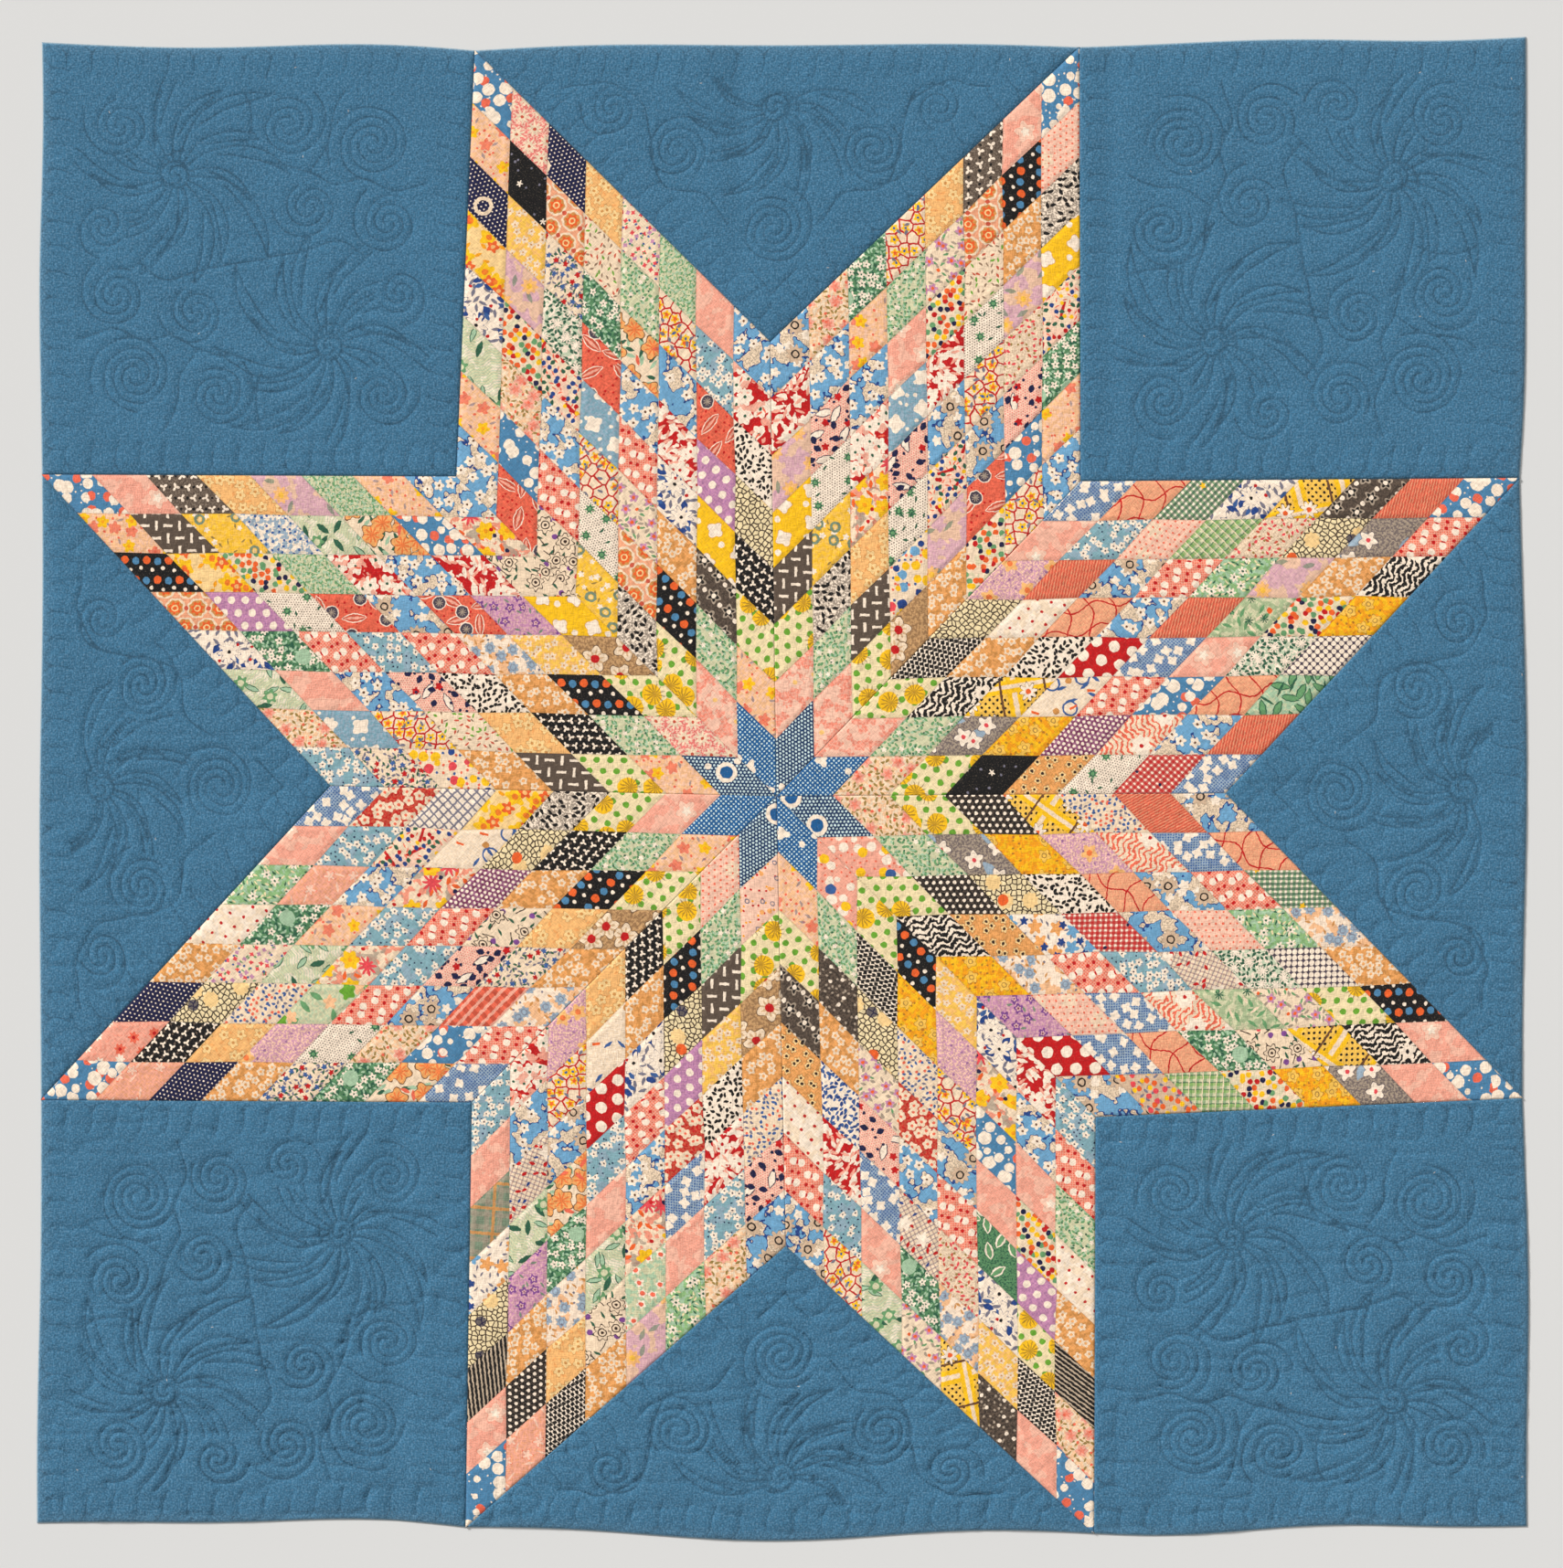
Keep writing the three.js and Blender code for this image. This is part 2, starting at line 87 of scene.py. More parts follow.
# Unevenness of the patches, in the same terms
PATCH_CRUMPLE = (0.5, 0.25)
PATCH_CRINKLE = (1, 10)
PATCH_SWELL = (0.25, 34)
PATCH_PUCKER = (1, 19)
PATCH_THINNESS = 4
FREE_MARGIN = 3
# Patches are drawn down along their seams, by a smaller share where two star points meet
SEAM_DIP_WIDTH = 2.6
JOINT_EASE = 0.75
BLUE_SEAM_REACH = 2.2
# Seam allowance under a patch: its height and where it ends, in millimetres from the seam
ALLOWANCE = 0.3
ALLOWANCE_END = (7.5, 5.5)
# Share of a patch's width that keeps clear of seam shade where two star points meet
JOINT_MARGIN = 0.06

# How far the cloths of the patches and the panels are moved before they are cut, in millimetres
PRINT_OFFSET = 400
PANEL_OFFSET = 37.0

# Fineness of the meshes: cells along a patch, along a square's side and along a triangle's outer edge
PATCH_CELLS = 22
SQUARE_CELLS = 186
TRIANGLE_CELLS = 264

# Places in the drafted star, and how far the sewn quilt strays from each of them: x, y, east, north
LANDMARKS = {
    "corner_nw": (-HALF, HALF, 2, 5),
    "corner_ne": (HALF, HALF, 1, 10.5),
    "corner_se": (HALF, -HALF, 2, 5.5),
    "corner_sw": (-HALF, -HALF, -3, 9),
    "tip_nw": (-INNER, HALF, 0, -3.5),
    "tip_ne": (INNER, HALF, -11, 0),
    "tip_en": (HALF, INNER, -5.5, 4),
    "tip_es": (HALF, -INNER, -2.5, -1),
    "tip_se": (INNER, -HALF, 4, -2),
    "tip_sw": (-INNER, -HALF, -9.5, 4.5),
    "tip_ws": (-HALF, -INNER, 1, -3),
    "tip_wn": (-HALF, INNER, 2, 7.5),
    "inner_nw": (-INNER, INNER, -19, 5.5),
    "inner_ne": (INNER, INNER, -10, 0.5),
    "inner_se": (INNER, -INNER, 5.5, -20.5),
    "inner_sw": (-INNER, -INNER, -3, -5.5),
    "notch_n": (0, POINT_SIDE, -12.5, 13),
    "notch_e": (POINT_SIDE, 0, 8, -4),
    "notch_s": (0, -POINT_SIDE, 3.5, -22),
    "notch_w": (-POINT_SIDE, 0, -17.5, 3.5),
    "middle": (0, 0, -6, -7),
}

# The outer edge, clockwise: from, to, and how far it bows out at a quarter, a half and three quarters
EDGE_BOWS = (
    ("corner_nw", "tip_nw", -2.6, 0, 4.5),
    ("tip_nw", "tip_ne", 5.4, 3.8, 4.4),
    ("tip_ne", "corner_ne", 2.1, 2.8, -1.2),
    ("corner_ne", "tip_en", 1.6, 2.8, 4),
    ("tip_en", "tip_es", 4, 6.1, 2.1),
    ("tip_es", "corner_se", 3.1, 4.2, 1.2),
    ("corner_se", "tip_se", -1.9, -4, 2.4),
    ("tip_se", "tip_sw", 0.2, 10.8, 4),
    ("tip_sw", "corner_sw", -7.3, -3.3, -1.6),
    ("corner_sw", "tip_ws", 0.9, -0.5, -0.9),
    ("tip_ws", "tip_wn", 1.5, 1.9, -0.4),
    ("tip_wn", "corner_nw", 1.9, 2.4, -0.5),
)

# Panels by their landmarks. Star points: one side, the tip and the other side
STAR_POINTS = {
    "star_point_nne": ("notch_n", "tip_ne", "inner_ne"),
    "star_point_ene": ("inner_ne", "tip_en", "notch_e"),
    "star_point_ese": ("notch_e", "tip_es", "inner_se"),
    "star_point_sse": ("inner_se", "tip_se", "notch_s"),
    "star_point_ssw": ("notch_s", "tip_sw", "inner_sw"),
    "star_point_wsw": ("inner_sw", "tip_ws", "notch_w"),
    "star_point_wnw": ("notch_w", "tip_wn", "inner_nw"),
    "star_point_nnw": ("inner_nw", "tip_nw", "notch_n"),
}
CORNER_SQUARES = {
    "corner_square_nw": ("tip_wn", "corner_nw", "tip_nw", "inner_nw"),
    "corner_square_ne": ("tip_ne", "corner_ne", "tip_en", "inner_ne"),
    "corner_square_se": ("tip_es", "corner_se", "tip_se", "inner_se"),
    "corner_square_sw": ("tip_sw", "corner_sw", "tip_ws", "inner_sw"),
}
SIDE_TRIANGLES = {
    "side_triangle_n": ("tip_nw", "tip_ne", "notch_n"),
    "side_triangle_e": ("tip_en", "tip_es", "notch_e"),
    "side_triangle_s": ("tip_se", "tip_sw", "notch_s"),
    "side_triangle_w": ("tip_ws", "tip_wn", "notch_w"),
}

# Old fold creases: axis they run along, place across it, from, to, share of the height lost
CREASES = (
    ("y", -398, -790, -330, 0.45),
    ("y", -44, 510, 790, 0.42),
    ("y", -30, -790, -520, 0.25),
    ("y", 337, 340, 790, 0.36),
    ("y", 399, -790, -350, 0.25),
    ("x", -2, -790, -480, 0.32),
    ("x", -2, 470, 790, 0.32),
    ("x", -402, -790, -340, 0.22),
    ("x", -402, 340, 790, 0.22),
)
CREASE_WIDTH = 15
CREASE_FADE = 40

# Quilting: round scallops along every side of a blue panel, spirals, plumes and vines inside
SCALLOP_PITCH = 27
SCALLOP_DEPTH = 34
SCALLOP_ARC = ((0, 0.46), (0.1, 0.22), (0.3, 0.1), (0.5, 0.07), (0.7, 0.1), (0.9, 0.22), (1, 0.46))
SCALLOP_STEM = ((0, 0.46), (-0.03, 0.72), (-0.16, 1))
SCALLOP_RELIEF = 0.75
SPIRAL_PITCH = 19
SPIRAL_TAIL = 2
SPIRAL_START = 0.15
SPIRAL_CLEARANCE = 4
EYE_RADIUS = 14
PLUME_BEND = 0.7
PLUME_LENGTHS = (1, 0.78, 0.92, 0.66)
# The line back along a plume: where it ends, in shares of the plume, its width and its swell
PLUME_BACK = 0.42
PLUME_WIDTH = 0.5
PLUME_SWELL = 0.76
LINE_STEP = 0.8
HAND_WOBBLE = 1.3
WOBBLE_LENGTH = 21
# Share of a cell within which the mesh's points move onto a line, and how much wider a shallow line looks
SNAP_REACH = 0.55
SHALLOW_GAP = 2
# Points on a spiral, round an eye, along a plume and back, and along an outer edge
SPIRAL_POINTS = 72
EYE_POINTS = 25
PLUME_POINTS = 12
BACK_POINTS = 9
EDGE_POINTS = 101
# Spirals on a square's plan and on a triangle's: x, y, radius
SQUARE_SPIRALS = (
    (104, 102, 38),
    (186, 82, 30),
    (84, 190, 30),
    (170, 166, 27),
    (344, 346, 38),
    (262, 366, 30),
    (364, 258, 30),
    (278, 282, 27),
    (84, 366, 28),
    (364, 82, 28),
    (258, 68, 22),
    (190, 380, 22),
)
TRIANGLE_SPIRALS = ((317, 196, 36), (214, 112, 31), (420, 112, 31), (146, 68, 23), (488, 68, 23))
# Fans of plumes: x, y, first angle and sweep in half turns, plumes, their length
SQUARE_FANS = ((134, 308, -0.94, 1.88, 18, 132), (314, 140, 0.06, 1.88, 18, 132))
TRIANGLE_FANS = ((317, 66, -0.16, 1.2, 13, 116),)
# Vines that wander between the motifs
SQUARE_VINES = (
    ((220, 106), (204, 134), (216, 176), (224, 224), (232, 272), (244, 314), (228, 342)),
    ((142, 44), (152, 80), (140, 112), (146, 140), (132, 168), (122, 212)),
    ((306, 404), (296, 368), (308, 336), (302, 308), (316, 280), (326, 236)),
    ((50, 134), (62, 142), (78, 146), (104, 150), (132, 168)),
    ((398, 314), (386, 306), (370, 302), (344, 298), (316, 280)),
    ((50, 236), (62, 232), (88, 230), (108, 236)),
    ((398, 212), (386, 216), (360, 218), (340, 212)),
)
TRIANGLE_VINES = (
    ((92, 44), (116, 42), (140, 40), (176, 62), (184, 92), (200, 148), (244, 158), (268, 190)),
    ((542, 44), (518, 42), (494, 40), (458, 62), (450, 92), (434, 148), (390, 158), (366, 190)),
    ((317, 266), (306, 252), (292, 238)),
    ((317, 266), (328, 252), (342, 238)),
)


def place_of(name):
    x, y, east, north = LANDMARKS[name]
    return np.array((x + east, y + north), float)


def edge_bow(start, share):
    """How far the outer edge that leaves a landmark bows outward, at shares of the way to the next one."""
    _, end, quarter, half, three_quarters = next(row for row in EDGE_BOWS if row[0] == start)
    level = (quarter + three_quarters) / math.sqrt(2)
    one = (level + half) / 2
    two = (quarter - three_quarters) / 2
    three = (level - half) / 2
    turn = np.pi * np.asarray(share, float)
    out = one * np.sin(turn) + two * np.sin(2 * turn) + three * np.sin(3 * turn)
    way = place_of(end) - place_of(start)
    way /= np.linalg.norm(way)
    return out[..., None] * np.array((-way[1], way[0]))


def blend(names, shares):
    return sum(share[..., None] * place_of(name) for name, share in zip(names, shares))


def corner_shares(x, y):
    """Shares of a square's four corners, in turn, at a place in it."""
    return (1 - x) * (1 - y), x * (1 - y), x * y, (1 - x) * y


def on_square(panel, plan):
    """Plan to quilt: x runs along the edge before the corner, y along the edge after it."""
    x, y = plan[:, 0] / POINT_SIDE, plan[:, 1] / POINT_SIDE
    before, corner, _, _ = panel
    place = blend(panel, corner_shares(x, y))
    place += edge_bow(before, x) * (1 - y)[:, None]
    return place + edge_bow(corner, y) * x[:, None]


def on_triangle(panel, plan):
    """Plan to quilt: x runs along the outer edge, y in towards the notch."""
    notch = plan[:, 1] / INNER
    after = (plan[:, 0] - plan[:, 1]) / (2 * INNER)
    outer = 1 - notch
    place = blend(panel, (outer - after, after, notch))
    share = np.clip(after / np.maximum(outer, 1e-6), 0, 1)
    return place + edge_bow(panel[0], share) * (outer**2)[:, None]


def on_star_point(panel, plan):
    return blend(("middle", *panel), corner_shares(*plan.T))


def box_middle():
    """The middle of the quilt's box before it is moved to the origin."""
    share = np.linspace(0, 1, EDGE_POINTS)
    points = []
    for start, end, *_ in EDGE_BOWS:
        line = place_of(start) + share[:, None] * (place_of(end) - place_of(start))
        points.append(line + edge_bow(start, share))
    points = np.concatenate(points)
    return (points.min(0) + points.max(0)) / 2


MIDDLE = box_middle()


def smooth(value, low, high):
    t = np.clip((value - low) / (high - low), 0, 1)
    return t * t * (3 - 2 * t)


def creased(place):
    """What share of its height the quilt keeps where old creases cross it."""
    share = np.ones(len(place))
    for axis, at, start, end, lost in CREASES:
        across = place[:, 0] if axis == "y" else place[:, 1]
        along = place[:, 1] if axis == "y" else place[:, 0]
        window = smooth(along, start, start + CREASE_FADE) * (1 - smooth(along, end - CREASE_FADE, end))
        share -= lost * bell(across - at, CREASE_WIDTH) * window
    return share


# Large odd numbers that scramble the lattice of the ripples
HASH_X = 73856093
HASH_Y = 19349663
HASH_SEED = 83492791
HASH_SPREAD = 2654435761


def ripple(place, wavelength, seed):
    """Smooth noise from -1 to 1 over the quilt, from a hashed lattice."""
    spot = place / wavelength + 1000
    cell = np.floor(spot).astype(np.int64)
    t = spot - cell
    t = t * t * (3 - 2 * t)

    def corner(dx, dy):
        mixed = (cell[:, 0] + dx) * HASH_X ^ (cell[:, 1] + dy) * HASH_Y ^ seed * HASH_SEED
        return (mixed * HASH_SPREAD % 2**32) / 2**31 - 1

    low = corner(0, 0) * (1 - t[:, 0]) + corner(1, 0) * t[:, 0]
    high = corner(0, 1) * (1 - t[:, 0]) + corner(1, 1) * t[:, 0]
    return low * (1 - t[:, 1]) + high * t[:, 1]


def wave(form, place, seed):
    """Waves of a height and a wavelength."""
    height, wavelength = form
    return height * ripple(place, wavelength, seed)


def crease_lines(form, thinness, place, seed):
    """Thin lines of a height, along which waves of a wavelength cross zero."""
    height, wavelength = form
    return height * np.exp(-thinness * np.abs(ripple(place, wavelength, seed)))


def uneven(shares, place):
    """A share that grows from the quilt's middle to its lower side, and shrinks to its upper side."""
    middle, gain = shares
    return middle - gain * place[:, 1] / HALF


def bell(distance, width):
    return np.exp(-((distance / width) ** 2))


def smooth_line(points, step=LINE_STEP):
    """A smooth curve through points, with points about step apart."""
    points = np.asarray(points, float)
    ends = np.concatenate((2 * points[:1] - points[1:2], points, 2 * points[-1:] - points[-2:-1]))
    pieces = []
    for a, b, c, d in zip(ends, ends[1:], ends[2:], ends[3:]):
        t = np.linspace(0, 1, max(2, int(np.linalg.norm(c - b) / step)), endpoint=False)[:, None]
        pieces.append(
            0.5 * (2 * b + (c - a) * t + (2 * a - 5 * b + 4 * c - d) * t**2 + (3 * b - a - 3 * c + d) * t**3)
        )
    return np.concatenate(pieces + [points[-1:]])


def sides_of(corners):
    """Start, unit way, inward normal and length of each side of a counterclockwise plan."""
    sides = []
    for start, end in zip(corners, corners[1:] + corners[:1]):
        start, end = np.array(start, float), np.array(end, float)
        length = np.linalg.norm(end - start)
        way = (end - start) / length
        sides.append((start, way, np.array((-way[1], way[0])), length))
    return sides


def depths(sides, points):
    """How far points lie inside each side of a plan."""
    return np.stack([(points - start) @ inward for start, _, inward, _ in sides], axis=1)


def scallop_lines(sides):
    """Round scallops with leaning stems, stopped where the scallops of another side are nearer."""
    lines = []
    for number, (start, way, inward, length) in enumerate(sides):
        count = round(length / SCALLOP_PITCH)
        for outline in (SCALLOP_ARC, SCALLOP_STEM):
            curve = smooth_line(np.array(outline) * (length / count, SCALLOP_DEPTH))
            for k in range(count):
                along = curve[:, :1] + k * length / count
                line = start + along * way + curve[:, 1:] * inward
                depth = depths(sides, line)
                keep = depth[:, number] <= depth.min(axis=1) + 1
                if keep.any():
                    lines.append(line[keep])
    return lines


def polar(middle, radius, angle):
    return np.array(middle, float) + np.stack((radius * np.cos(angle), radius * np.sin(angle)), axis=-1)


def spiral_lines(x, y, radius, hand):
    """A double spiral: one line in and one line out, which swings wider at its end."""
    last = 2 * np.pi * radius / SPIRAL_PITCH
    grow = SPIRAL_PITCH / (2 * np.pi)
    lines = []
    for lead, tail in ((0, SPIRAL_TAIL), (np.pi, 0)):
        angle = np.linspace(SPIRAL_START * last, last + tail, SPIRAL_POINTS)
        reach = grow * (angle + np.maximum(angle - last, 0))
        lines.append(smooth_line(polar((x, y), reach, hand * (angle + lead))))
    return lines


def fan_lines(x, y, start, sweep, plumes, length):
    """A stitched eye with bent plumes round it, each with a line back along its other edge."""
    lines = spiral_lines(x, y, EYE_RADIUS, 1)
    lines.append(smooth_line(polar((x, y), EYE_RADIUS, np.linspace(0, 2 * np.pi, EYE_POINTS))))
    step = np.pi * sweep / (plumes - 1)
    for k in range(plumes):
        reach = length * PLUME_LENGTHS[k % len(PLUME_LENGTHS)]
        angle = np.pi * start + k * step
        out = np.linspace(EYE_RADIUS / reach, 1, PLUME_POINTS)
        lines.append(smooth_line(polar((x, y), out * reach, angle + PLUME_BEND * out**2)))
        back = np.linspace(PLUME_BACK, 1, BACK_POINTS)
        swell = PLUME_WIDTH * step * np.sin(np.pi * (1 - back) / PLUME_SWELL)
        lines.append(smooth_line(polar((x, y), back * reach, angle + PLUME_BEND * back**2 + swell)))
    return lines


def cut_short(line, sides, spirals):
    """The start of a line, up to the first spiral or scallop that it meets."""
    clear = depths(sides, line).min(axis=1) > SCALLOP_DEPTH
    for x, y, radius in spirals:
        clear &= np.hypot(line[:, 0] - x, line[:, 1] - y) > radius + SPIRAL_CLEARANCE
    return line if clear.all() else line[: clear.argmin()]


def motif_lines(sides, spirals, fans, vines):
    lines = []
    for k, row in enumerate(spirals):
        lines += spiral_lines(*row, 1 if k % 2 else -1)
    for row in fans:
        lines += [cut_short(line, sides, spirals) for line in fan_lines(*row)]
    lines += [smooth_line(row) for row in vines]
    return [line for line in lines if len(line)]


def line_tree(scallops, motifs):
    """A search tree over the points of lines, how far along its line each point lies, and how deep it is
    stitched. The lines waver a little, as lines guided by hand do."""
    lines = scallops + motifs
    points = np.concatenate(lines)
    waver = np.stack([ripple(points, WOBBLE_LENGTH, seed) for seed in (5, 6)], axis=1)
    points = points + HAND_WOBBLE * waver
    along = np.concatenate([np.arange(len(line)) * LINE_STEP for line in lines])
    deep = np.ones(len(points))
    deep[: sum(len(line) for line in scallops)] = SCALLOP_RELIEF
    tree = KDTree(len(points))
    for i, (px, py) in enumerate(points):
        tree.insert((px, py, 0), i)
    tree.balance()
    return tree, points, along, deep


def nearest(tree, plan):
    """Distance to the nearest point of the lines, that point, its way along its line and its depth."""
    search, points, along, deep = tree
    found = [search.find((px, py, 0)) for px, py in plan]
    index = np.array([hit[1] for hit in found])
    return np.array([hit[2] for hit in found]), points[index], along[index], deep[index]


def stitch(plan, sides, tree, cell):
    """Moves plan points that are close to a quilting line onto it. Returns the plan, the distance to the
    nearest line, the way along it and how deep it is stitched."""
    depth = depths(sides, plan).min(axis=1)
    gap, spot, along, deep = nearest(tree, plan)
    snap = (gap < SNAP_REACH * cell) & (depth > cell)
    return np.where(snap[:, None], spot, plan), np.where(snap, 0, gap), along, deep


def rise(low, high, distance, reach):
    """A number that goes from low, on a line, towards high with the distance from it."""
    return low + (high - low) * (1 - np.exp(-distance / reach))


def quilted_height(gap, relief, side_depths, outer_count):
    """Height of quilted cloth by its distance from a stitched line, the seams and the folded edge."""
    dip = sum(share * np.exp(-gap / reach) for share, reach in STITCH_DIPS)
    height = LOFT - (LOFT - STITCHED) * relief * dip
    seam = side_depths[:, outer_count:].min(axis=1)
    edge = side_depths[:, :outer_count].min(axis=1)
    height = np.minimum(height, rise(SEAM, LOFT, seam, SEAM_REACH))
    roll = np.sqrt(1 - (1 - np.clip(edge / EDGE_ROLL, 0, 1)) ** 2)
    fold = RIM + (FOLD - RIM) * roll
    return np.minimum(height, fold + (LOFT - FOLD) * (1 - np.exp(-edge / EDGE_REACH)))


def cloth_piece(name, top, faces, rim, materials, face_materials, corner_maps, point_fields):
    """A closed sheet: a quilted top, thin sides and a flat underside, which takes the last material."""
    count = len(top)
    feet = top[rim] * (1, 1, 0)
    vertices = np.concatenate((top, feet)) * MM
    foot = count + np.arange(len(rim))
    following = np.roll(np.arange(len(rim)), -1)
    walls = np.stack((foot, foot[following], rim[following], rim), axis=1)
    loops = np.concatenate([*(part.ravel() for part in faces), walls.ravel(), foot[::-1]])
    sizes = np.concatenate(
        [*(np.full(len(part), part.shape[1]) for part in faces), np.full(len(walls), 4), [len(foot)]]
    )
    mesh = bpy.data.meshes.new(name)
    mesh.vertices.add(len(vertices))
    mesh.vertices.foreach_set("co", vertices.ravel())
    mesh.loops.add(len(loops))
    mesh.loops.foreach_set("vertex_index", loops.astype(np.int32))
    mesh.polygons.add(len(sizes))
    mesh.polygons.foreach_set("loop_start", np.concatenate(([0], np.cumsum(sizes)[:-1])).astype(np.int32))
    numbers = np.full(len(sizes), len(materials) - 1, np.int32)
    numbers[: len(face_materials)] = face_materials
    mesh.polygons.foreach_set("material_index", numbers)
    for label, values in corner_maps.items():
        spare = np.concatenate((values, np.full((len(loops) - len(values), 2), 0.5)))
        layer = mesh.uv_layers.new(name=label)
        layer.data.foreach_set("uv", spare.ravel().astype(np.float32))
    for label, values in point_fields.items():
        field = mesh.attributes.new(label, "FLOAT", "POINT")
        field.data.foreach_set("value", np.concatenate((values, values[rim])).astype(np.float32))
    for material in materials:
        mesh.materials.append(material)
    mesh.update()
    mesh.validate()
    mesh.polygons.foreach_set("use_smooth", np.arange(len(sizes)) < len(face_materials))
    piece = bpy.data.objects.new(name, mesh)
    bpy.context.scene.collection.objects.link(piece)
    return piece


def facing_up(place, faces, rim):
    """Faces and rim turned round if the plan comes out clockwise on the quilt."""
    x, y = place[rim].T
    if (x * np.roll(y, -1) - y * np.roll(x, -1)).sum() > 0:
        return faces, rim
    return [part[:, ::-1] for part in faces], rim[::-1]


def grid_faces(count):
    """Quads of a square grid of count by count cells, and its rim."""
    number = np.arange((count + 1) ** 2).reshape(count + 1, count + 1)
    quads = np.stack((number[:-1, :-1], number[1:, :-1], number[1:, 1:], number[:-1, 1:]), axis=-1)
    rim = np.concatenate((number[:-1, 0], number[-1, :-1], number[:0:-1, -1], number[0, :0:-1]))
    return quads.reshape(-1, 4), rim


# Colours of cloth and print, as seen in daylight, from 0 to 255
PALETTE = {
    "cream": (248, 236, 212),
    "white": (255, 250, 236),
    "ecru": (247, 240, 200),
    "sand": (220, 202, 178),
    "tan": (206, 174, 128),
    "amber": (217, 164, 96),
    "brown": (116, 82, 54),
    "umber": (66, 46, 36),
    "black": (18, 15, 16),
    "grey": (104, 94, 84),
    "silver": (180, 172, 158),
    "slate": (134, 138, 158),
    "dusk": (86, 80, 98),
    "ink": (22, 28, 84),
    "deep_blue": (36, 80, 156),
    "royal": (28, 110, 174),
    "navy": (20, 66, 116),
    "denim": (66, 112, 178),
    "blue": (86, 150, 196),
    "sky": (122, 184, 228),
    "teal": (142, 190, 206),
    "frost": (216, 248, 255),
    "aqua": (136, 184, 206),
    "pale_blue": (166, 194, 216),
    "lagoon": (134, 160, 140),
    "pine": (52, 112, 88),
    "green": (116, 176, 128),
    "leaf": (118, 186, 62),
    "mint": (176, 216, 188),
    "pale_green": (219, 228, 196),
    "yellow": (255, 214, 22),
    "gold": (250, 180, 16),
    "sun": (253, 216, 104),
    "olive": (168, 148, 84),
    "honey": (251, 206, 140),
    "lemon": (252, 228, 170),
    "apricot": (246, 188, 120),
    "peach": (250, 210, 168),
    "orange": (242, 116, 50),
    "salmon": (243, 184, 150),
    "pale_pink": (251, 220, 202),
    "pink": (248, 190, 172),
    "coral": (242, 124, 98),
    "brick": (212, 100, 76),
    "rose": (234, 88, 100),
    "red": (204, 14, 22),
    "orchid": (234, 200, 204),
    "lilac": (228, 196, 206),
    "mauve": (208, 160, 200),
    "violet": (138, 88, 168),
    "plum": (130, 58, 106),
}


def motif(shape, size, colour, **more):
    """A printed shape, its size in millimetres and its colour."""
    return {"shape": shape, "size": size, "colour": colour, **more}


def dot(size, colour, **more):
    return motif("dot", size, colour, **more)


def square(size, colour, **more):
    return motif("square", size, colour, **more)


def ring(size, colour, width=1, **more):
    return motif("ring", size, colour, width=width, **more)


def dash(size, colour, width=1, **more):
    return motif("dash", size, colour, width=width, **more)


def leaf(size, colour, width=1, **more):
    return motif("leaf", size, colour, width=width, **more)


def flower(size, colour, depth=0.4, petals=5, **more):
    return motif("flower", size, colour, depth=depth, petals=petals, **more)


def repeat(layout, pitch, shapes, shift=(0, 0), pick=None):
    """Shapes printed over each other in the same places. Pick is the share of the places that get them, or
    the part of the places from one share to another."""
    picked = pick if pick is None or isinstance(pick, tuple) else (0, pick)
    return [{**row, "layout": layout, "pitch": pitch, "shift": shift, "pick": picked} for row in shapes]


def scatter(pitch, *shapes, **more):
    """Shapes that repeat at random, about a pitch apart, in millimetres."""
    return repeat("scatter", pitch, shapes, **more)


def rows(pitch, *shapes, **more):
    """Shapes in rows, each row half a step along from the last."""
    return repeat("half", pitch, shapes, **more)


def grid(pitch, *shapes, **more):
    """Shapes on a square grid."""
    return repeat("grid", pitch, shapes, **more)


def stripes(pitch, size, colour, turn, shift=(0, 0), **more):
    """Printed stripes, turned by degrees."""
    return [motif("stripe", size, colour, pitch=pitch, turn=turn, shift=shift, **more)]


def mottle(pitch, level, colour, strength=1.0):
    """Printed blotches where a cloud of about that pitch rises above a level."""
    return [motif("mottle", level, colour, pitch=pitch, strength=strength)]


def contour(pitch, level, width, colour):
    """A printed outline round the blotches of the same pitch and level."""
    return [motif("contour", level, colour, pitch=pitch, width=width)]


def net(pitch, size, colour, strength=1.0):
    """A printed net of uneven meshes."""
    return [motif("net", size, colour, pitch=pitch, strength=strength)]


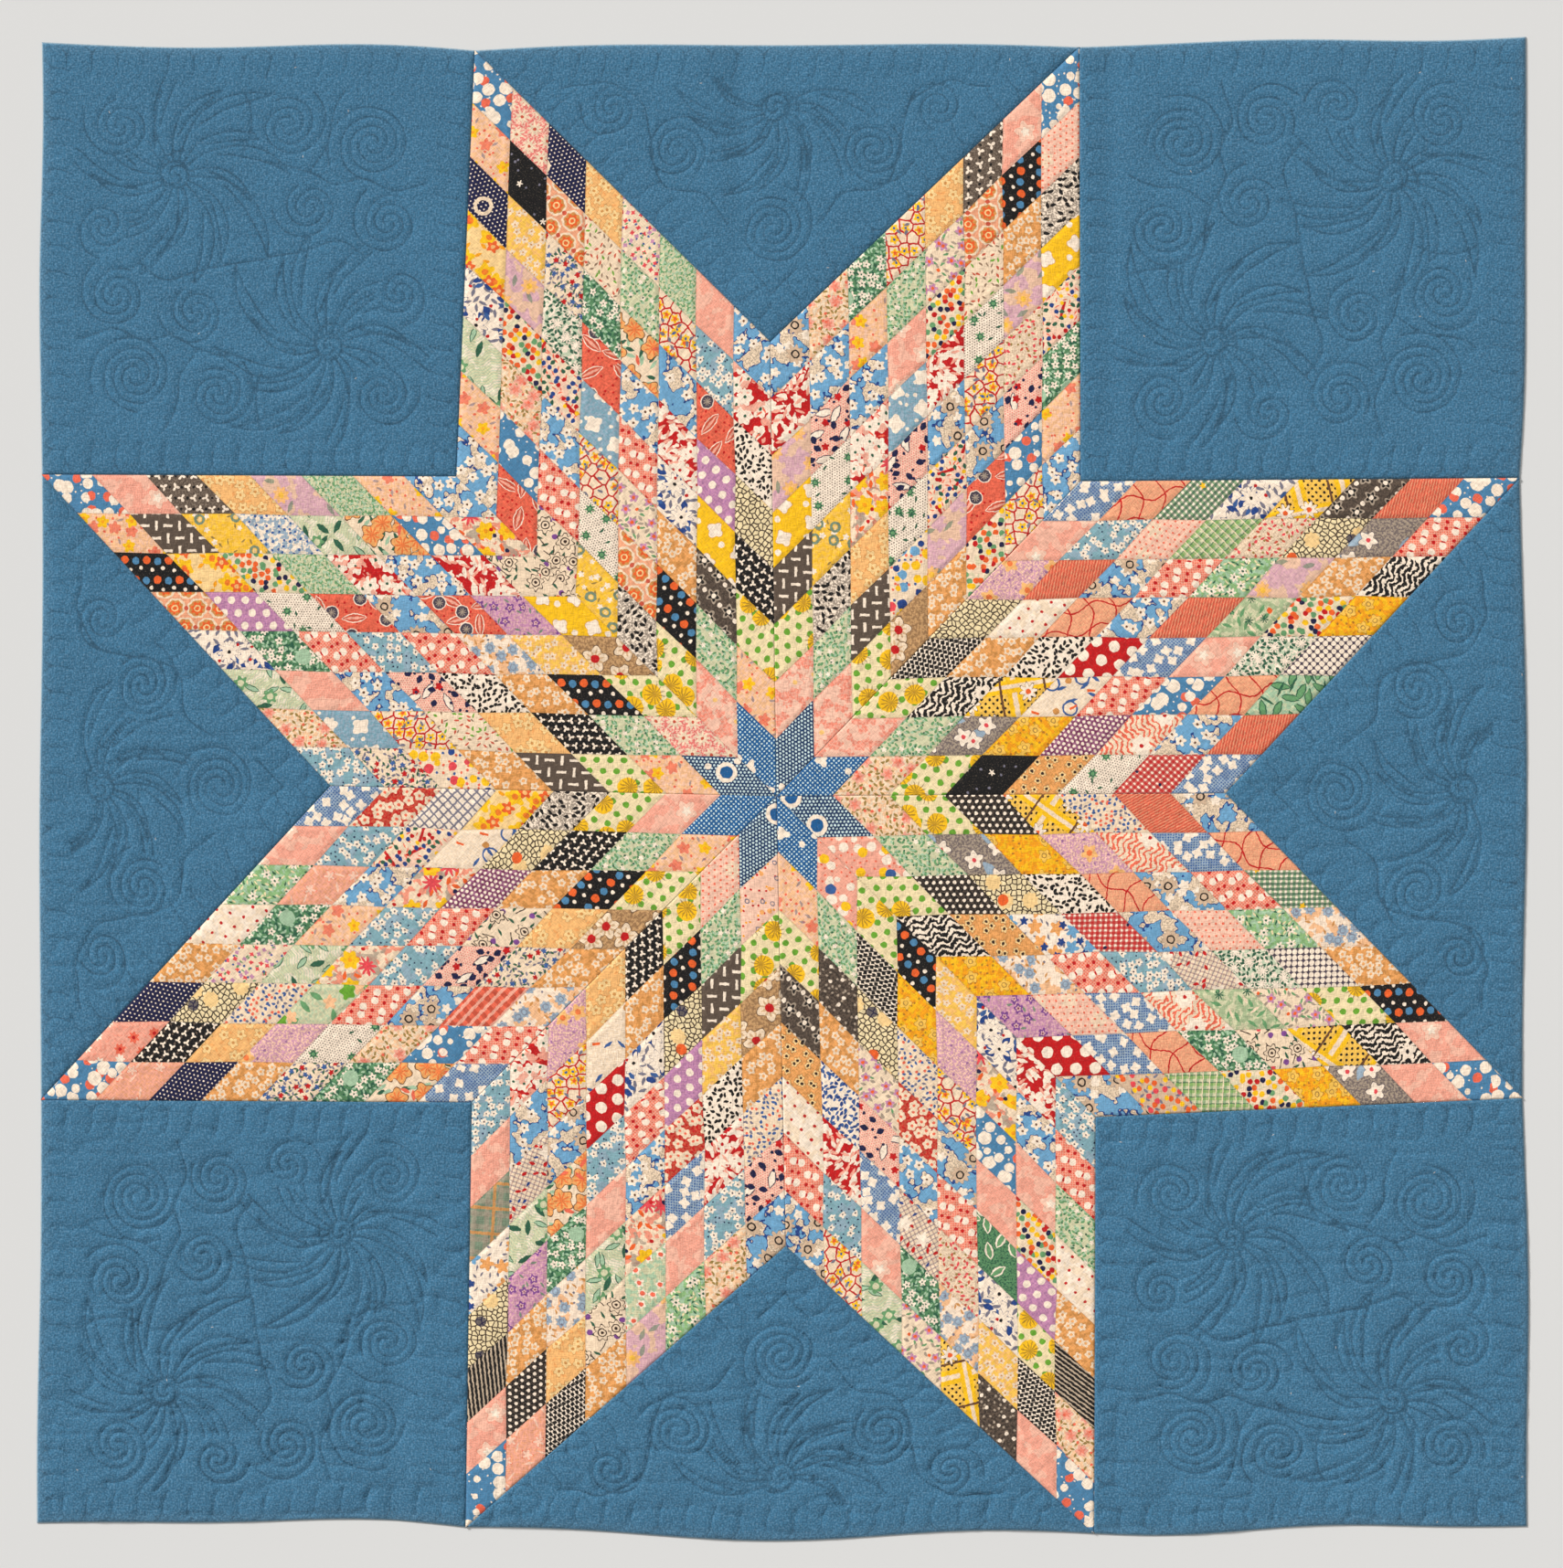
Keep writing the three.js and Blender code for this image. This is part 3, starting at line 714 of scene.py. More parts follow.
# Prints: the ground, and what is printed on it. Small common repeats, drawn for this quilt.
PRINTS = {
    "amber_ring": (
        "apricot",
        mottle(3, 0.52, "amber", 0.7),
        scatter(10, flower(4.4, "brown", 0.3, strength=0.5), flower(3.6, "lemon", 0.3), dot(1.6, "umber")),
    ),
    "apricot": (
        "amber",
        mottle(5, 0.48, "apricot", 0.85),
        scatter(10, flower(4.5, "cream", 0.3), dot(1.5, "apricot"), pick=0.85),
    ),
    "berry_sprig": (
        "cream",
        scatter(5.2, leaf(2.6, "slate", 1.1), pick=0.75),
        scatter(6, leaf(2.6, "pine", 1.1), pick=0.55, shift=(3, 2)),
        scatter(9, flower(3.2, "red"), pick=0.3),
        scatter(9, flower(3, "denim"), pick=(0.3, 0.65)),
    ),
    "black_bloom": (
        "black",
        scatter(16, flower(3.4, "white", 0.6), pick=0.3),
        scatter(9, dot(1.2, "slate"), pick=0.25),
    ),
    "black_check": ("white", rows(5, square(1.8, "black", turn=45)), stripes(5, 1.1, "black", 45)),
    "black_dots": (
        "black",
        rows(23, dot(4.1, "orange")),
        rows(23, dot(3.8, "blue"), shift=(11.5, 1)),
        rows(23, dot(2, "white"), shift=(6, 10)),
        rows(23, dot(2, "white"), shift=(17, 8)),
    ),
    "black_petal": (
        "white",
        mottle(2.2, 0.46, "grey", 0.7),
        scatter(7, leaf(3.4, "white", 1.5), pick=0.45, shift=(3, 2)),
        scatter(7, leaf(3.7, "black", 1.8), pick=0.68),
    ),
    "black_pin": ("black", mottle(2, 0.5, "grey", 0.6), rows(7, dot(1.75, "white"))),
    "black_rows": ("black", stripes(4.4, 1.7, "cream", 82, ragged=0.3, strength=0.62)),
    "black_seed": (
        "white",
        scatter(5.6, leaf(3, "black", 1.6), pick=0.86),
        scatter(5.6, dot(1, "black"), pick=(0.86, 1)),
    ),
    "black_trefoil": (
        "black",
        rows(9.5, flower(3.5, "white", 0.75, 3)),
        rows(9.5, dot(1.2, "grey"), shift=(4.7, 0)),
    ),
    "black_zebra": (
        "white",
        stripes(6.4, 3.7, "black", 70, wave=2.4, ragged=1.8),
        scatter(40, flower(9, "white", 0.35), dot(2.2, "black"), pick=0.6),
    ),
    "blue_bubble": (
        "blue",
        scatter(6.5, dot(0.9, "white"), pick=0.4),
        scatter(17, dot(5, "coral"), pick=0.35, shift=(8, 3)),
        scatter(15, dot(7.4, "white", vary=0.6), pick=0.9),
    ),
    "blue_calico": (
        "pale_blue",
        grid(2.6, dot(0.86, "denim")),
        mottle(12, 0.56, "denim", 0.3),
        scatter(12.5, flower(5.6, "white", 0.35, 4), pick=0.8),
    ),
    "blue_check": ("white", stripes(7, 1.7, "slate", 2), stripes(7, 1.7, "slate", 92)),
    "blue_cloud": ("pale_blue", mottle(5, 0.5, "white"), scatter(6, dot(1.4, "denim"), pick=0.5)),
    "blue_fern": (
        "white",
        scatter(9, leaf(5, "slate", 1.7), pick=0.9),
        scatter(14, leaf(6, "deep_blue", 3.2), pick=0.55),
        scatter(14, leaf(5, "denim", 2.2), pick=0.5, shift=(5, 4)),
        scatter(
            30, flower(12.8, "slate", 0.45, 9), flower(11.9, "white", 0.45, 9), dot(1.8, "black"),
            pick=0.65,
        ),
        scatter(17, dot(1.7, "red"), pick=0.4),
    ),
    "blue_floral": (
        "cream",
        mottle(1.8, 0.53, "silver", 0.7),
        mottle(17, 0.46, "sky"),
        contour(17, 0.46, 0.024, "deep_blue"),
        scatter(14, flower(5.8, "white", 0.35), dot(1.2, "brown"), pick=0.7),
    ),
    "blue_posy": (
        "white",
        scatter(8, leaf(3.2, "slate", 1.1), pick=0.75),
        scatter(20, flower(8, "sky", 0.45), pick=0.5),
        scatter(20, flower(8, "apricot", 0.45), pick=(0.5, 0.9)),
        scatter(20, flower(4.4, "deep_blue"), pick=0.65, shift=(11, 6)),
    ),
    "blue_rose": (
        "peach",
        mottle(16, 0.46, "white", 0.85),
        scatter(9, leaf(3.2, "amber", 1.1), pick=0.6),
        scatter(
            15, flower(6.6, "slate", 0.25, 7, strength=0.6), flower(6, "pale_blue", 0.25, 7),
            ring(2.8, "slate", 1.1, strength=0.7), pick=0.7,
        ),
        scatter(11, dot(1.3, "slate"), pick=0.4, shift=(4, 6)),
    ),
    "blue_specks": (
        "cream",
        scatter(5, leaf(2.2, "denim", 1.3), pick=0.45),
        scatter(5, leaf(2.2, "slate", 1.3), pick=(0.45, 0.7)),
        scatter(5, dot(1.5, "coral"), pick=(0.7, 0.95)),
    ),
    "blue_sprig": (
        "white",
        scatter(6.5, leaf(3.2, "deep_blue", 1.6), pick=0.75),
        scatter(6, leaf(2.8, "denim", 1.4), pick=0.8, shift=(3, 2)),
    ),
    "blue_tulip": (
        "aqua",
        mottle(3, 0.5, "pale_blue", 0.7),
        rows(32, flower(9.5, "white", 0.3, 4)),
        scatter(12, dot(2, "white"), pick=0.5),
    ),
    "brick_check": ("pink", rows(10, square(2.9, "brick")), rows(10, square(2.5, "coral"), shift=(5, 0))),
    "bubble_party": (
        "cream",
        scatter(6, dot(1.4, "coral"), pick=0.4),
        scatter(6, dot(1.4, "denim"), pick=(0.4, 0.6)),
        scatter(12.5, dot(5.6, "rose", vary=0.5), pick=0.24),
        scatter(12.5, dot(5.6, "deep_blue", vary=0.5), pick=(0.24, 0.4)),
        scatter(12.5, dot(5.6, "yellow", vary=0.5), pick=(0.4, 0.78)),
        scatter(12.5, dot(5.6, "sky", vary=0.5), pick=(0.78, 0.9)),
    ),
    "charcoal_bloom": (
        "grey",
        mottle(2.2, 0.52, "black", 0.45),
        rows(21, flower(8, "silver"), flower(5.8, "black", 0.5), dot(2.4, "white")),
        rows(21, dot(2.4, "white"), shift=(10.5, 2)),
    ),
    "charcoal_dot": (
        "grey",
        mottle(2.6, 0.52, "black", 0.6),
        scatter(6, dot(1.3, "silver"), pick=0.8),
        scatter(11, dot(2, "white"), pick=0.6),
    ),
    "confetti": (
        "cream",
        mottle(14, 0.54, "pale_green", 0.6),
        scatter(6.8, dot(3, "green"), pick=0.22),
        scatter(6.8, dot(3, "orange"), pick=(0.22, 0.46)),
        scatter(6.8, dot(3, "yellow"), pick=(0.46, 0.64)),
        scatter(6.8, dot(2.8, "ink"), pick=(0.64, 0.8)),
        scatter(6.8, dot(2.8, "red"), pick=(0.8, 0.92)),
    ),
    "coral_dot": (
        "coral",
        stripes(2.4, 1, "pale_pink", 45, strength=0.45),
        stripes(2.4, 1, "pale_pink", 135, strength=0.45),
        rows(20, dot(3.9, "white")),
        rows(20, dot(3.9, "white"), shift=(-7, 4)),
        rows(20, dash(1.9, "red", turn=60), shift=(-3.5, 2)),
        rows(20, dot(1.9, "red"), shift=(8, -5)),
        rows(20, dot(1.9, "red"), shift=(4, 9)),
    ),
    "coral_floral": (
        "salmon",
        mottle(3, 0.46, "pink", 0.85),
        scatter(14, leaf(6, "pale_pink", 1.1), pick=0.7),
        scatter(22, flower(6.6, "coral", 0.6), flower(5.8, "pale_pink", 0.6), pick=0.65),
    ),
    "coral_leaf": (
        "coral",
        mottle(2.4, 0.53, "brick", 0.6),
        scatter(7, dot(1.2, "red"), pick=0.6),
        scatter(27, leaf(13.4, "white", 5), leaf(12.4, "brick", 4), leaf(11, "pink", 1.4), pick=0.75),
        scatter(
            34, dot(7.4, "white"), dot(6.4, "dusk"), flower(4.4, "silver", 0.8, 9), pick=0.6, shift=(5, 15),
        ),
    ),
    "coral_net": (
        "salmon",
        rows(2.6, dot(0.7, "coral", strength=0.3)),
        mottle(2, 0.54, "peach", 0.5),
        stripes(23, 1.6, "red", 35, wave=4.6, bend=0.13),
        stripes(23, 1.6, "red", 125, wave=4.6, bend=0.13),
    ),
    "coral_rose": (
        "pink",
        mottle(3, 0.56, "coral", 0.3),
        scatter(18, flower(6, "coral", 0.35, 7), pick=0.5),
        scatter(18, flower(5.4, "white", 0.4, 7), pick=(0.5, 0.9)),
        scatter(18, dot(1.7, "red"), pick=0.5),
    ),
    "coral_twill": ("brick", stripes(2.8, 1.2, "salmon", 60, strength=0.8), mottle(5, 0.5, "coral", 0.4)),
    "coral_zebra": (
        "cream",
        stripes(6, 2.6, "coral", 25, wave=2.4, ragged=1.6),
        scatter(36, flower(11.5, "white", 0.25, 7), dot(2, "red"), pick=0.65),
    ),
    "cream_berry": (
        "cream",
        mottle(9, 0.55, "coral", 0.7),
        mottle(13, 0.6, "silver", 0.8),
        scatter(11, leaf(4.8, "orange", 2), pick=0.4, shift=(6, 3)),
        scatter(24, flower(10.6, "rose", 0.6, 9), pick=0.45),
        scatter(24, flower(10.4, "yellow", 0.3, 6), dot(2.4, "gold"), pick=(0.45, 0.9)),
        scatter(13, dot(2.2, "ink"), pick=0.12),
        scatter(13, dot(2, "red"), pick=(0.12, 0.36)),
    ),
    "cream_leaf_dot": (
        "ecru",
        rows(13.5, dot(3.3, "leaf")),
        scatter(34, flower(13, "yellow", 0.45, 1), flower(11, "brown", 0.9, 13, strength=0.55), pick=0.9),
    ),
    "cream_pin": ("white", mottle(10, 0.5, "cream", 0.8), rows(14, dot(1.6, "red"))),
    "cream_rosebud": (
        "cream",
        scatter(8, flower(2.6, "rose", 0.4, 4), pick=0.45),
        scatter(8, flower(2.6, "mauve", 0.4, 4), pick=(0.45, 0.9)),
        scatter(7, leaf(2, "green", 0.9), pick=0.4),
        scatter(9, dot(1.2, "denim"), pick=0.5),
    ),
    "cream_sprig": (
        "white",
        rows(2.8, dot(0.6, "grey")),
        scatter(22, flower(5.4, "green", 0.5, 7), ring(2.6, "pine", 1.3), pick=0.75),
        scatter(13, leaf(3.4, "pine", 1.1), pick=0.4),
    ),
    "cream_toy": (
        "cream",
        mottle(2, 0.5, "white", 0.6),
        scatter(30, ring(7, "denim", 2), pick=0.6),
        scatter(16, leaf(6, "denim", 1.6), pick=0.4),
        scatter(30, dot(3.4, "amber"), pick=0.7, shift=(12, 8)),
        scatter(26, dash(4, "orange", 1.2), pick=0.5, shift=(3, 12)),
    ),
    "dark_pin": ("ink", rows(4.6, dot(0.8, "white")), scatter(46, ring(8, "cream", 3.6), pick=0.5)),
    "forest_leaf": (
        "pine",
        mottle(2, 0.45, "green", 0.7),
        scatter(18, leaf(9.5, "white", 4.4), leaf(8, "green", 2.6), pick=0.8),
    ),
    "gold_bloom": (
        "gold",
        mottle(6, 0.5, "yellow", 0.8),
        scatter(6, dot(1.2, "brown", strength=0.6), pick=0.45),
        scatter(
            19, flower(7.4, "brown", 0.35, strength=0.6), flower(6.7, "sun", 0.35),
            ring(2.2, "brown", 0.9, strength=0.7), pick=0.75,
        ),
    ),
    "green_calico": ("green", mottle(3, 0.47, "pale_green"), scatter(5.5, leaf(2.4, "mint"))),
    "green_check": (
        "white",
        stripes(5.4, 3, "green", 0, strength=0.8),
        stripes(5.4, 3, "pine", 90, strength=0.8),
        scatter(24, flower(3.4, "yellow"), pick=0.5),
    ),
    "green_fern": (
        "pale_green",
        mottle(9, 0.54, "white", 0.7),
        stripes(3, 0.8, "mint", 30, wave=1.5, strength=0.7),
        scatter(17, leaf(9, "pine", 3), pick=0.65),
        scatter(17, leaf(7.8, "mint", 2), pick=0.45),
        scatter(30, flower(8, "green", 0.35, 6), dot(3.4, "pale_green"), pick=0.6, shift=(9, 13)),
    ),
    "green_floral": (
        "mint",
        mottle(5, 0.48, "leaf", 0.5),
        scatter(6, leaf(2.6, "pine", 0.9), pick=0.55),
        scatter(6, leaf(2.6, "ecru"), pick=0.6, shift=(3, 2)),
        scatter(13, flower(5, "white", 0.5, 6), dot(1.2, "pine"), pick=0.7),
    ),
    "green_leaf": (
        "mint",
        mottle(4, 0.52, "pale_green", 0.6),
        scatter(15, leaf(11, "pine", 4), leaf(9.6, "green", 2.8), pick=0.9),
        scatter(16, leaf(9, "pine", 1.4), pick=0.7, shift=(7, 5)),
    ),
    "green_meadow": (
        "pine",
        mottle(5, 0.48, "green", 0.6),
        scatter(5, leaf(2.4, "mint", 1.1)),
        scatter(10, flower(4.4, "white", 0.5), dot(0.9, "pine"), pick=0.7),
        scatter(34, dot(8, "mint"), pick=0.35),
    ),
    "green_plaid": (
        "pale_green",
        stripes(7, 3.4, "green", 2, strength=0.65),
        stripes(7, 3.4, "leaf", 92, strength=0.55),
        stripes(7, 1, "pine", 92, shift=(2, 2), strength=0.8),
        stripes(7, 0.9, "cream", 2, shift=(2, 2)),
    ),
    "green_posy": (
        "pale_green",
        mottle(3, 0.55, "mint", 0.6),
        scatter(18, leaf(8, "green", 3), pick=0.6),
        scatter(24, flower(7.5, "peach"), pick=0.6, shift=(11, 5)),
        scatter(24, flower(9, "leaf", 0.3), pick=0.5),
    ),
    "grey_confetti": (
        "sand",
        scatter(8, leaf(3, "slate", 1.4), pick=0.7),
        scatter(8.5, dot(2.9, "orange"), pick=0.4),
        scatter(8.5, dot(2.9, "rose"), pick=(0.4, 0.7)),
        scatter(8.5, dot(2.6, "yellow"), pick=(0.7, 0.9)),
    ),
    "grey_dash": ("grey", grid(12.5, dash(4.9, "white", 1.3, basket=True))),
    "grey_poppy": (
        "cream",
        mottle(1.8, 0.52, "silver", 0.7),
        mottle(17, 0.49, "sky"),
        contour(17, 0.49, 0.024, "deep_blue"),
        scatter(14, flower(5.6, "white", 0.35), pick=0.4),
        scatter(
            32, flower(10.6, "umber", 0.3, 9, strength=0.6), flower(10, "sand", 0.3, 9),
            ring(3.6, "black", 1.6), pick=0.8,
        ),
    ),
    "grey_sprig": (
        "grey",
        mottle(1.8, 0.54, "silver", 0.35),
        rows(13, flower(4.3, "white", 0.8, 3)),
        rows(13, dot(1.5, "black"), shift=(6.5, 0)),
    ),
    "ink_rose": (
        "cream",
        scatter(10, leaf(4.4, "pine", 1.3), pick=0.45),
        scatter(15, dash(6, "umber", 0.55), pick=0.8, shift=(4, 9)),
        scatter(16, dot(3, "violet"), pick=0.35, shift=(7, 3)),
        scatter(16, dot(2.8, "rose"), pick=(0.35, 0.55), shift=(7, 3)),
        scatter(
            28, flower(9.6, "umber", 0.3, 7), flower(8.4, "cream", 0.3, 7), ring(4, "umber", 1.2),
            dot(1.6, "umber"), pick=0.8,
        ),
    ),
    "leaf_seed": (
        "cream",
        scatter(6.6, leaf(2.8, "brick", 1.1), pick=0.35),
        scatter(6.6, leaf(2.8, "leaf", 1.1), pick=(0.35, 0.7)),
        scatter(6.6, leaf(2.6, "brown", strength=0.8), pick=(0.7, 1)),
    ),
    "lilac_dot": ("mauve", mottle(2.2, 0.54, "violet", 0.35), rows(15, dot(4, "white"))),
    "lilac_plain": (
        "lilac",
        mottle(2.6, 0.53, "mauve", 0.35),
        mottle(18, 0.54, "lemon", 0.5),
        scatter(22, leaf(7, "lagoon", 2.4, strength=0.8), pick=0.55, shift=(8, 5)),
        scatter(34, flower(9, "honey", 0.3, 8), dot(3, "yellow", strength=0.7), pick=0.65),
    ),
    "lilac_rose": (
        "pale_pink",
        mottle(2.2, 0.48, "mauve", 0.85),
        scatter(11, dot(1.4, "violet", strength=0.7), pick=0.5),
        scatter(34, flower(9, "honey", 0.35), dot(3, "orange", strength=0.8), pick=0.5),
    ),
    "mint_rose": (
        "pale_green",
        mottle(6, 0.5, "mint", 0.9),
        scatter(13, flower(5, "white"), dot(2.4, "coral"), pick=0.65),
    ),
    "mint_sprig": (
        "pale_green",
        scatter(4.6, leaf(2.6, "green", 1.3), pick=0.85),
        scatter(4.6, leaf(2.2, "mint", 1.1), pick=0.6, shift=(2, 1)),
        scatter(11, flower(2.8, "white"), pick=0.5),
        scatter(8, dot(1, "pine"), pick=0.6),
    ),
    "mint_star": (
        "white",
        mottle(5, 0.5, "mint", 0.7),
        scatter(5, leaf(2.7, "pine", 1.4), pick=0.85),
        scatter(17, flower(7, "pine", 0.6, 9), flower(5.8, "white", 0.6, 9), pick=0.8),
    ),
    "navy_grid": (
        "royal",
        grid(3.5, dot(0.92, "frost")),
        scatter(40, flower(7.5, "white", 0.5, 3), pick=0.4),
        scatter(30, dot(3.4, "white"), pick=0.3, shift=(9, 5)),
    ),
    "navy_pin": (
        "navy",
        rows(3.8, dot(1.12, "frost")),
        scatter(30, dot(3.4, "white"), pick=0.3, shift=(9, 5)),
        scatter(40, dot(10.5, "white"), dot(6.4, "royal"), pick=0.6),
    ),
    "orange_hex": (
        "salmon",
        rows(
            23, flower(11, "cream", 0.06, 8), flower(8.8, "amber", 0.1, 8), flower(7.2, "orange", 0.3, 7),
            ring(2.8, "lemon", 1.4),
        ),
        rows(23, dot(2.4, "brick"), shift=(11.5, 0)),
    ),
    "party": (
        "cream",
        mottle(20, 0.52, "pale_pink", 0.8),
        scatter(6, leaf(3, "coral", 0.7), pick=0.5, shift=(2, 4)),
        scatter(22, dash(9, "red", 1.5), pick=0.6),
        scatter(7, dot(2.4, "deep_blue"), pick=0.28),
        scatter(7, leaf(3.2, "pine", 2), pick=(0.28, 0.5)),
        scatter(7, dot(2.2, "red"), pick=(0.5, 0.64)),
        scatter(7, dot(2.2, "yellow"), pick=(0.64, 0.78)),
    ),
    "peach_bloom": (
        "cream",
        scatter(12, leaf(6, "pine", 2), pick=0.5),
        scatter(12, leaf(6, "mint", 2), pick=0.5, shift=(5, 4)),
        scatter(
            25, flower(13.4, "brown", 0.3), flower(12.3, "apricot", 0.3),
            flower(9, "orange", 0.8, 9, strength=0.7), pick=0.9,
        ),
        scatter(19, leaf(6, "coral", 2), pick=0.6, shift=(8, 6)),
    ),
    "peach_posy": (
        "peach",
        mottle(4, 0.52, "pale_pink", 0.7),
        scatter(8, dot(1.3, "coral"), pick=0.4),
        scatter(14, leaf(3.6, "slate", 1.3, strength=0.7), pick=(0.6, 1)),
        scatter(22, flower(7, "coral", 0.35, strength=0.8), pick=0.5),
        scatter(25, flower(7, "yellow", 0.35), dot(1.8, "gold"), pick=0.6, shift=(9, 4)),
    ),
    "peach_seed": (
        "cream",
        mottle(4, 0.5, "peach", 0.8),
        scatter(5.6, leaf(2.9, "olive", 1.2), pick=0.7),
        scatter(19, flower(7, "pink", 0.3, 6), flower(4.2, "coral", 0.5, strength=0.6), pick=0.7),
        scatter(8, dot(1.5, "coral"), pick=0.4),
    ),
    "peach_specks": (
        "pale_pink",
        scatter(7.5, dot(1.2, "red"), pick=0.4),
        scatter(7.5, dot(1.1, "gold"), pick=(0.6, 1)),
        scatter(12, dot(2.4, "apricot"), pick=0.5),
        scatter(14, ring(2, "slate", 1.1), pick=0.4),
    ),
    "pebble": (
        "ecru",
        net(5.2, 1.2, "umber"),
        scatter(34, flower(8.5, "lemon", 0.15, 9), pick=0.55),
        scatter(40, dot(5.6, "orange"), pick=0.35, shift=(14, 9)),
        scatter(40, dot(5.6, "ink", strength=0.85), pick=(0.35, 0.6), shift=(14, 9)),
    ),
    "pink_bloom": (
        "pink",
        rows(2.8, dot(0.7, "coral", strength=0.3)),
        mottle(18, 0.52, "pale_pink", 0.5),
        scatter(
            38, flower(12.4, "coral", 0.35, strength=0.5), flower(11.6, "pale_pink", 0.35),
            flower(5, "white"), pick=0.5,
        ),
    ),
    "pink_bubble": (
        "pink",
        scatter(7, dot(1.1, "coral"), pick=0.7),
        scatter(14, dot(5.6, "white", vary=0.5), pick=0.75),
        scatter(24, dot(5, "yellow"), pick=0.6, shift=(9, 6)),
        scatter(36, dot(5.5, "denim"), pick=0.4, shift=(4, 17)),
    ),
    "pink_mottle": (
        "pink",
        mottle(2.6, 0.52, "coral", 0.55),
        mottle(12, 0.5, "pale_pink", 0.85),
        scatter(
            30, flower(10, "coral", strength=0.5), flower(9.2, "pale_pink"),
            dot(2.4, "yellow", strength=0.6), pick=0.6,
        ),
    ),
    "pink_pin": (
        "pale_pink",
        mottle(4, 0.55, "pink", 0.6),
        scatter(30, flower(9, "cream", 0.3, 6, strength=0.8), pick=0.5),
        rows(7, dot(1.1, "coral")),
    ),
    "plum_net": ("plum", mottle(3, 0.5, "mauve", 0.4), rows(5.2, dot(1.55, "white"))),
    "plum_sprig": (
        "mauve",
        mottle(2.6, 0.52, "orchid", 0.8),
        scatter(11, leaf(3.4, "lagoon", 1.1), pick=0.5, shift=(5, 4)),
        scatter(14, flower(5.4, "violet"), flower(2.6, "orchid"), dot(0.9, "plum"), pick=0.72),
    ),
    "poppy_speck": (
        "pale_pink",
        rows(2.6, dot(0.7, "rose", strength=0.7)),
        scatter(22, leaf(10.8, "ink", 4.1), leaf(9.6, "white", 3.1), pick=0.5, shift=(9, 5)),
        scatter(12, leaf(4.6, "ink", 3.1), pick=0.5),
        scatter(12, flower(4.2, "red", 0.3), pick=(0.5, 0.76)),
        scatter(9, dot(1.6, "ink"), pick=0.4),
    ),
    "red_calico": (
        "red",
        mottle(2.2, 0.48, "brick"),
        scatter(11.5, flower(5.6, "cream", 0.25), dot(1.5, "coral")),
    ),
    "red_check": (
        "white",
        stripes(5.2, 3, "red", 0, strength=0.85),
        stripes(5.2, 3, "red", 90, strength=0.85),
        scatter(22, dot(1.6, "ink"), pick=0.5),
    ),
    "red_polka": ("red", rows(19.5, dot(5.8, "white"))),
    "red_squares": (
        "red",
        scatter(15, flower(9.4, "white", 0.25, 6), pick=0.92),
        mottle(11, 0.58, "pink", 0.9),
        scatter(15, dot(1.6, "pine"), pick=0.92),
        scatter(12, leaf(4, "coral"), pick=0.4, shift=(5, 3)),
    ),
    "red_star": (
        "white",
        mottle(12, 0.46, "red"),
        scatter(10, leaf(7, "white", 2.2), pick=0.65),
        scatter(10, leaf(5.5, "pink", 1.5), pick=0.8, shift=(4, 3)),
        scatter(27, flower(10, "white", 0.5), dot(1.6, "red"), pick=0.6),
    ),
    "red_vine": (
        "cream",
        net(12, 1.7, "red"),
        scatter(12, flower(4.9, "yellow"), pick=0.66),
        scatter(12, flower(2.6, "orange"), pick=0.3),
        scatter(9, leaf(3.4, "slate", 1.5), pick=0.4, shift=(5, 3)),
        scatter(12, dot(1.3, "denim"), pick=(0.3, 0.66)),
    ),
    "rose_daisy": (
        "pale_pink",
        mottle(2.4, 0.48, "rose", 0.75),
        rows(19, flower(8.4, "cream", 0.5, 9), dot(1.7, "brick")),
    ),
    "rose_plaid": (
        "cream",
        stripes(4.4, 1.3, "slate", 20, strength=0.65),
        stripes(4.4, 1.3, "plum", 110, strength=0.5),
        scatter(9, leaf(3.4, "red", 1.7), pick=0.45),
        scatter(9, leaf(3, "deep_blue", 1.3), pick=(0.45, 0.6)),
        scatter(26, flower(8, "white"), pick=0.5),
    ),
    "rose_seed": (
        "cream",
        mottle(2, 0.52, "sand", 0.8),
        scatter(6.4, leaf(2.6, "rose", 1.3), pick=0.5),
        scatter(6.4, leaf(2.5, "brick", 1.2), pick=(0.5, 0.85)),
        scatter(8, dot(1.2, "olive"), pick=0.6),
    ),
    "rust_bloom": (
        "tan",
        mottle(3, 0.5, "brown", 0.5),
        scatter(
            30, flower(14.6, "umber", 0.35, strength=0.8), flower(13.6, "cream", 0.35),
            flower(9.5, "tan", 0.6, 10, strength=0.7), dot(4.4, "red"), pick=0.9,
        ),
    ),
    "sage_leaf": (
        "pale_green",
        mottle(6, 0.48, "green", 0.5),
        scatter(12, leaf(6, "green", 1.8), pick=0.7),
        scatter(12, leaf(6, "cream", 1.4), pick=0.4, shift=(6, 4)),
        scatter(24, flower(5, "pine", 0.8, 8), pick=0.8),
        scatter(26, dot(3, "orange"), pick=0.3, shift=(12, 7)),
    ),
    "slate_bloom": (
        "silver",
        mottle(2.4, 0.5, "dusk", 0.65),
        scatter(30, leaf(12, "pale_blue", 5), pick=0.4, shift=(15, 9)),
        scatter(29, flower(10.6, "dusk"), flower(9.8, "white"), dot(2.2, "rose"), pick=0.75),
    ),
    "slate_grid": ("dusk", grid(5.8, dot(2.6, "white"))),
    "teal_cloud": (
        "teal",
        mottle(14, 0.55, "pale_blue", 0.6),
        scatter(5, dot(0.9, "ink"), pick=0.45),
        scatter(8.5, flower(4.2, "white", 0.35), dot(0.9, "dusk"), pick=0.62),
    ),
    "teal_plaid": (
        "lagoon",
        stripes(13, 5, "silver", 3, strength=0.5),
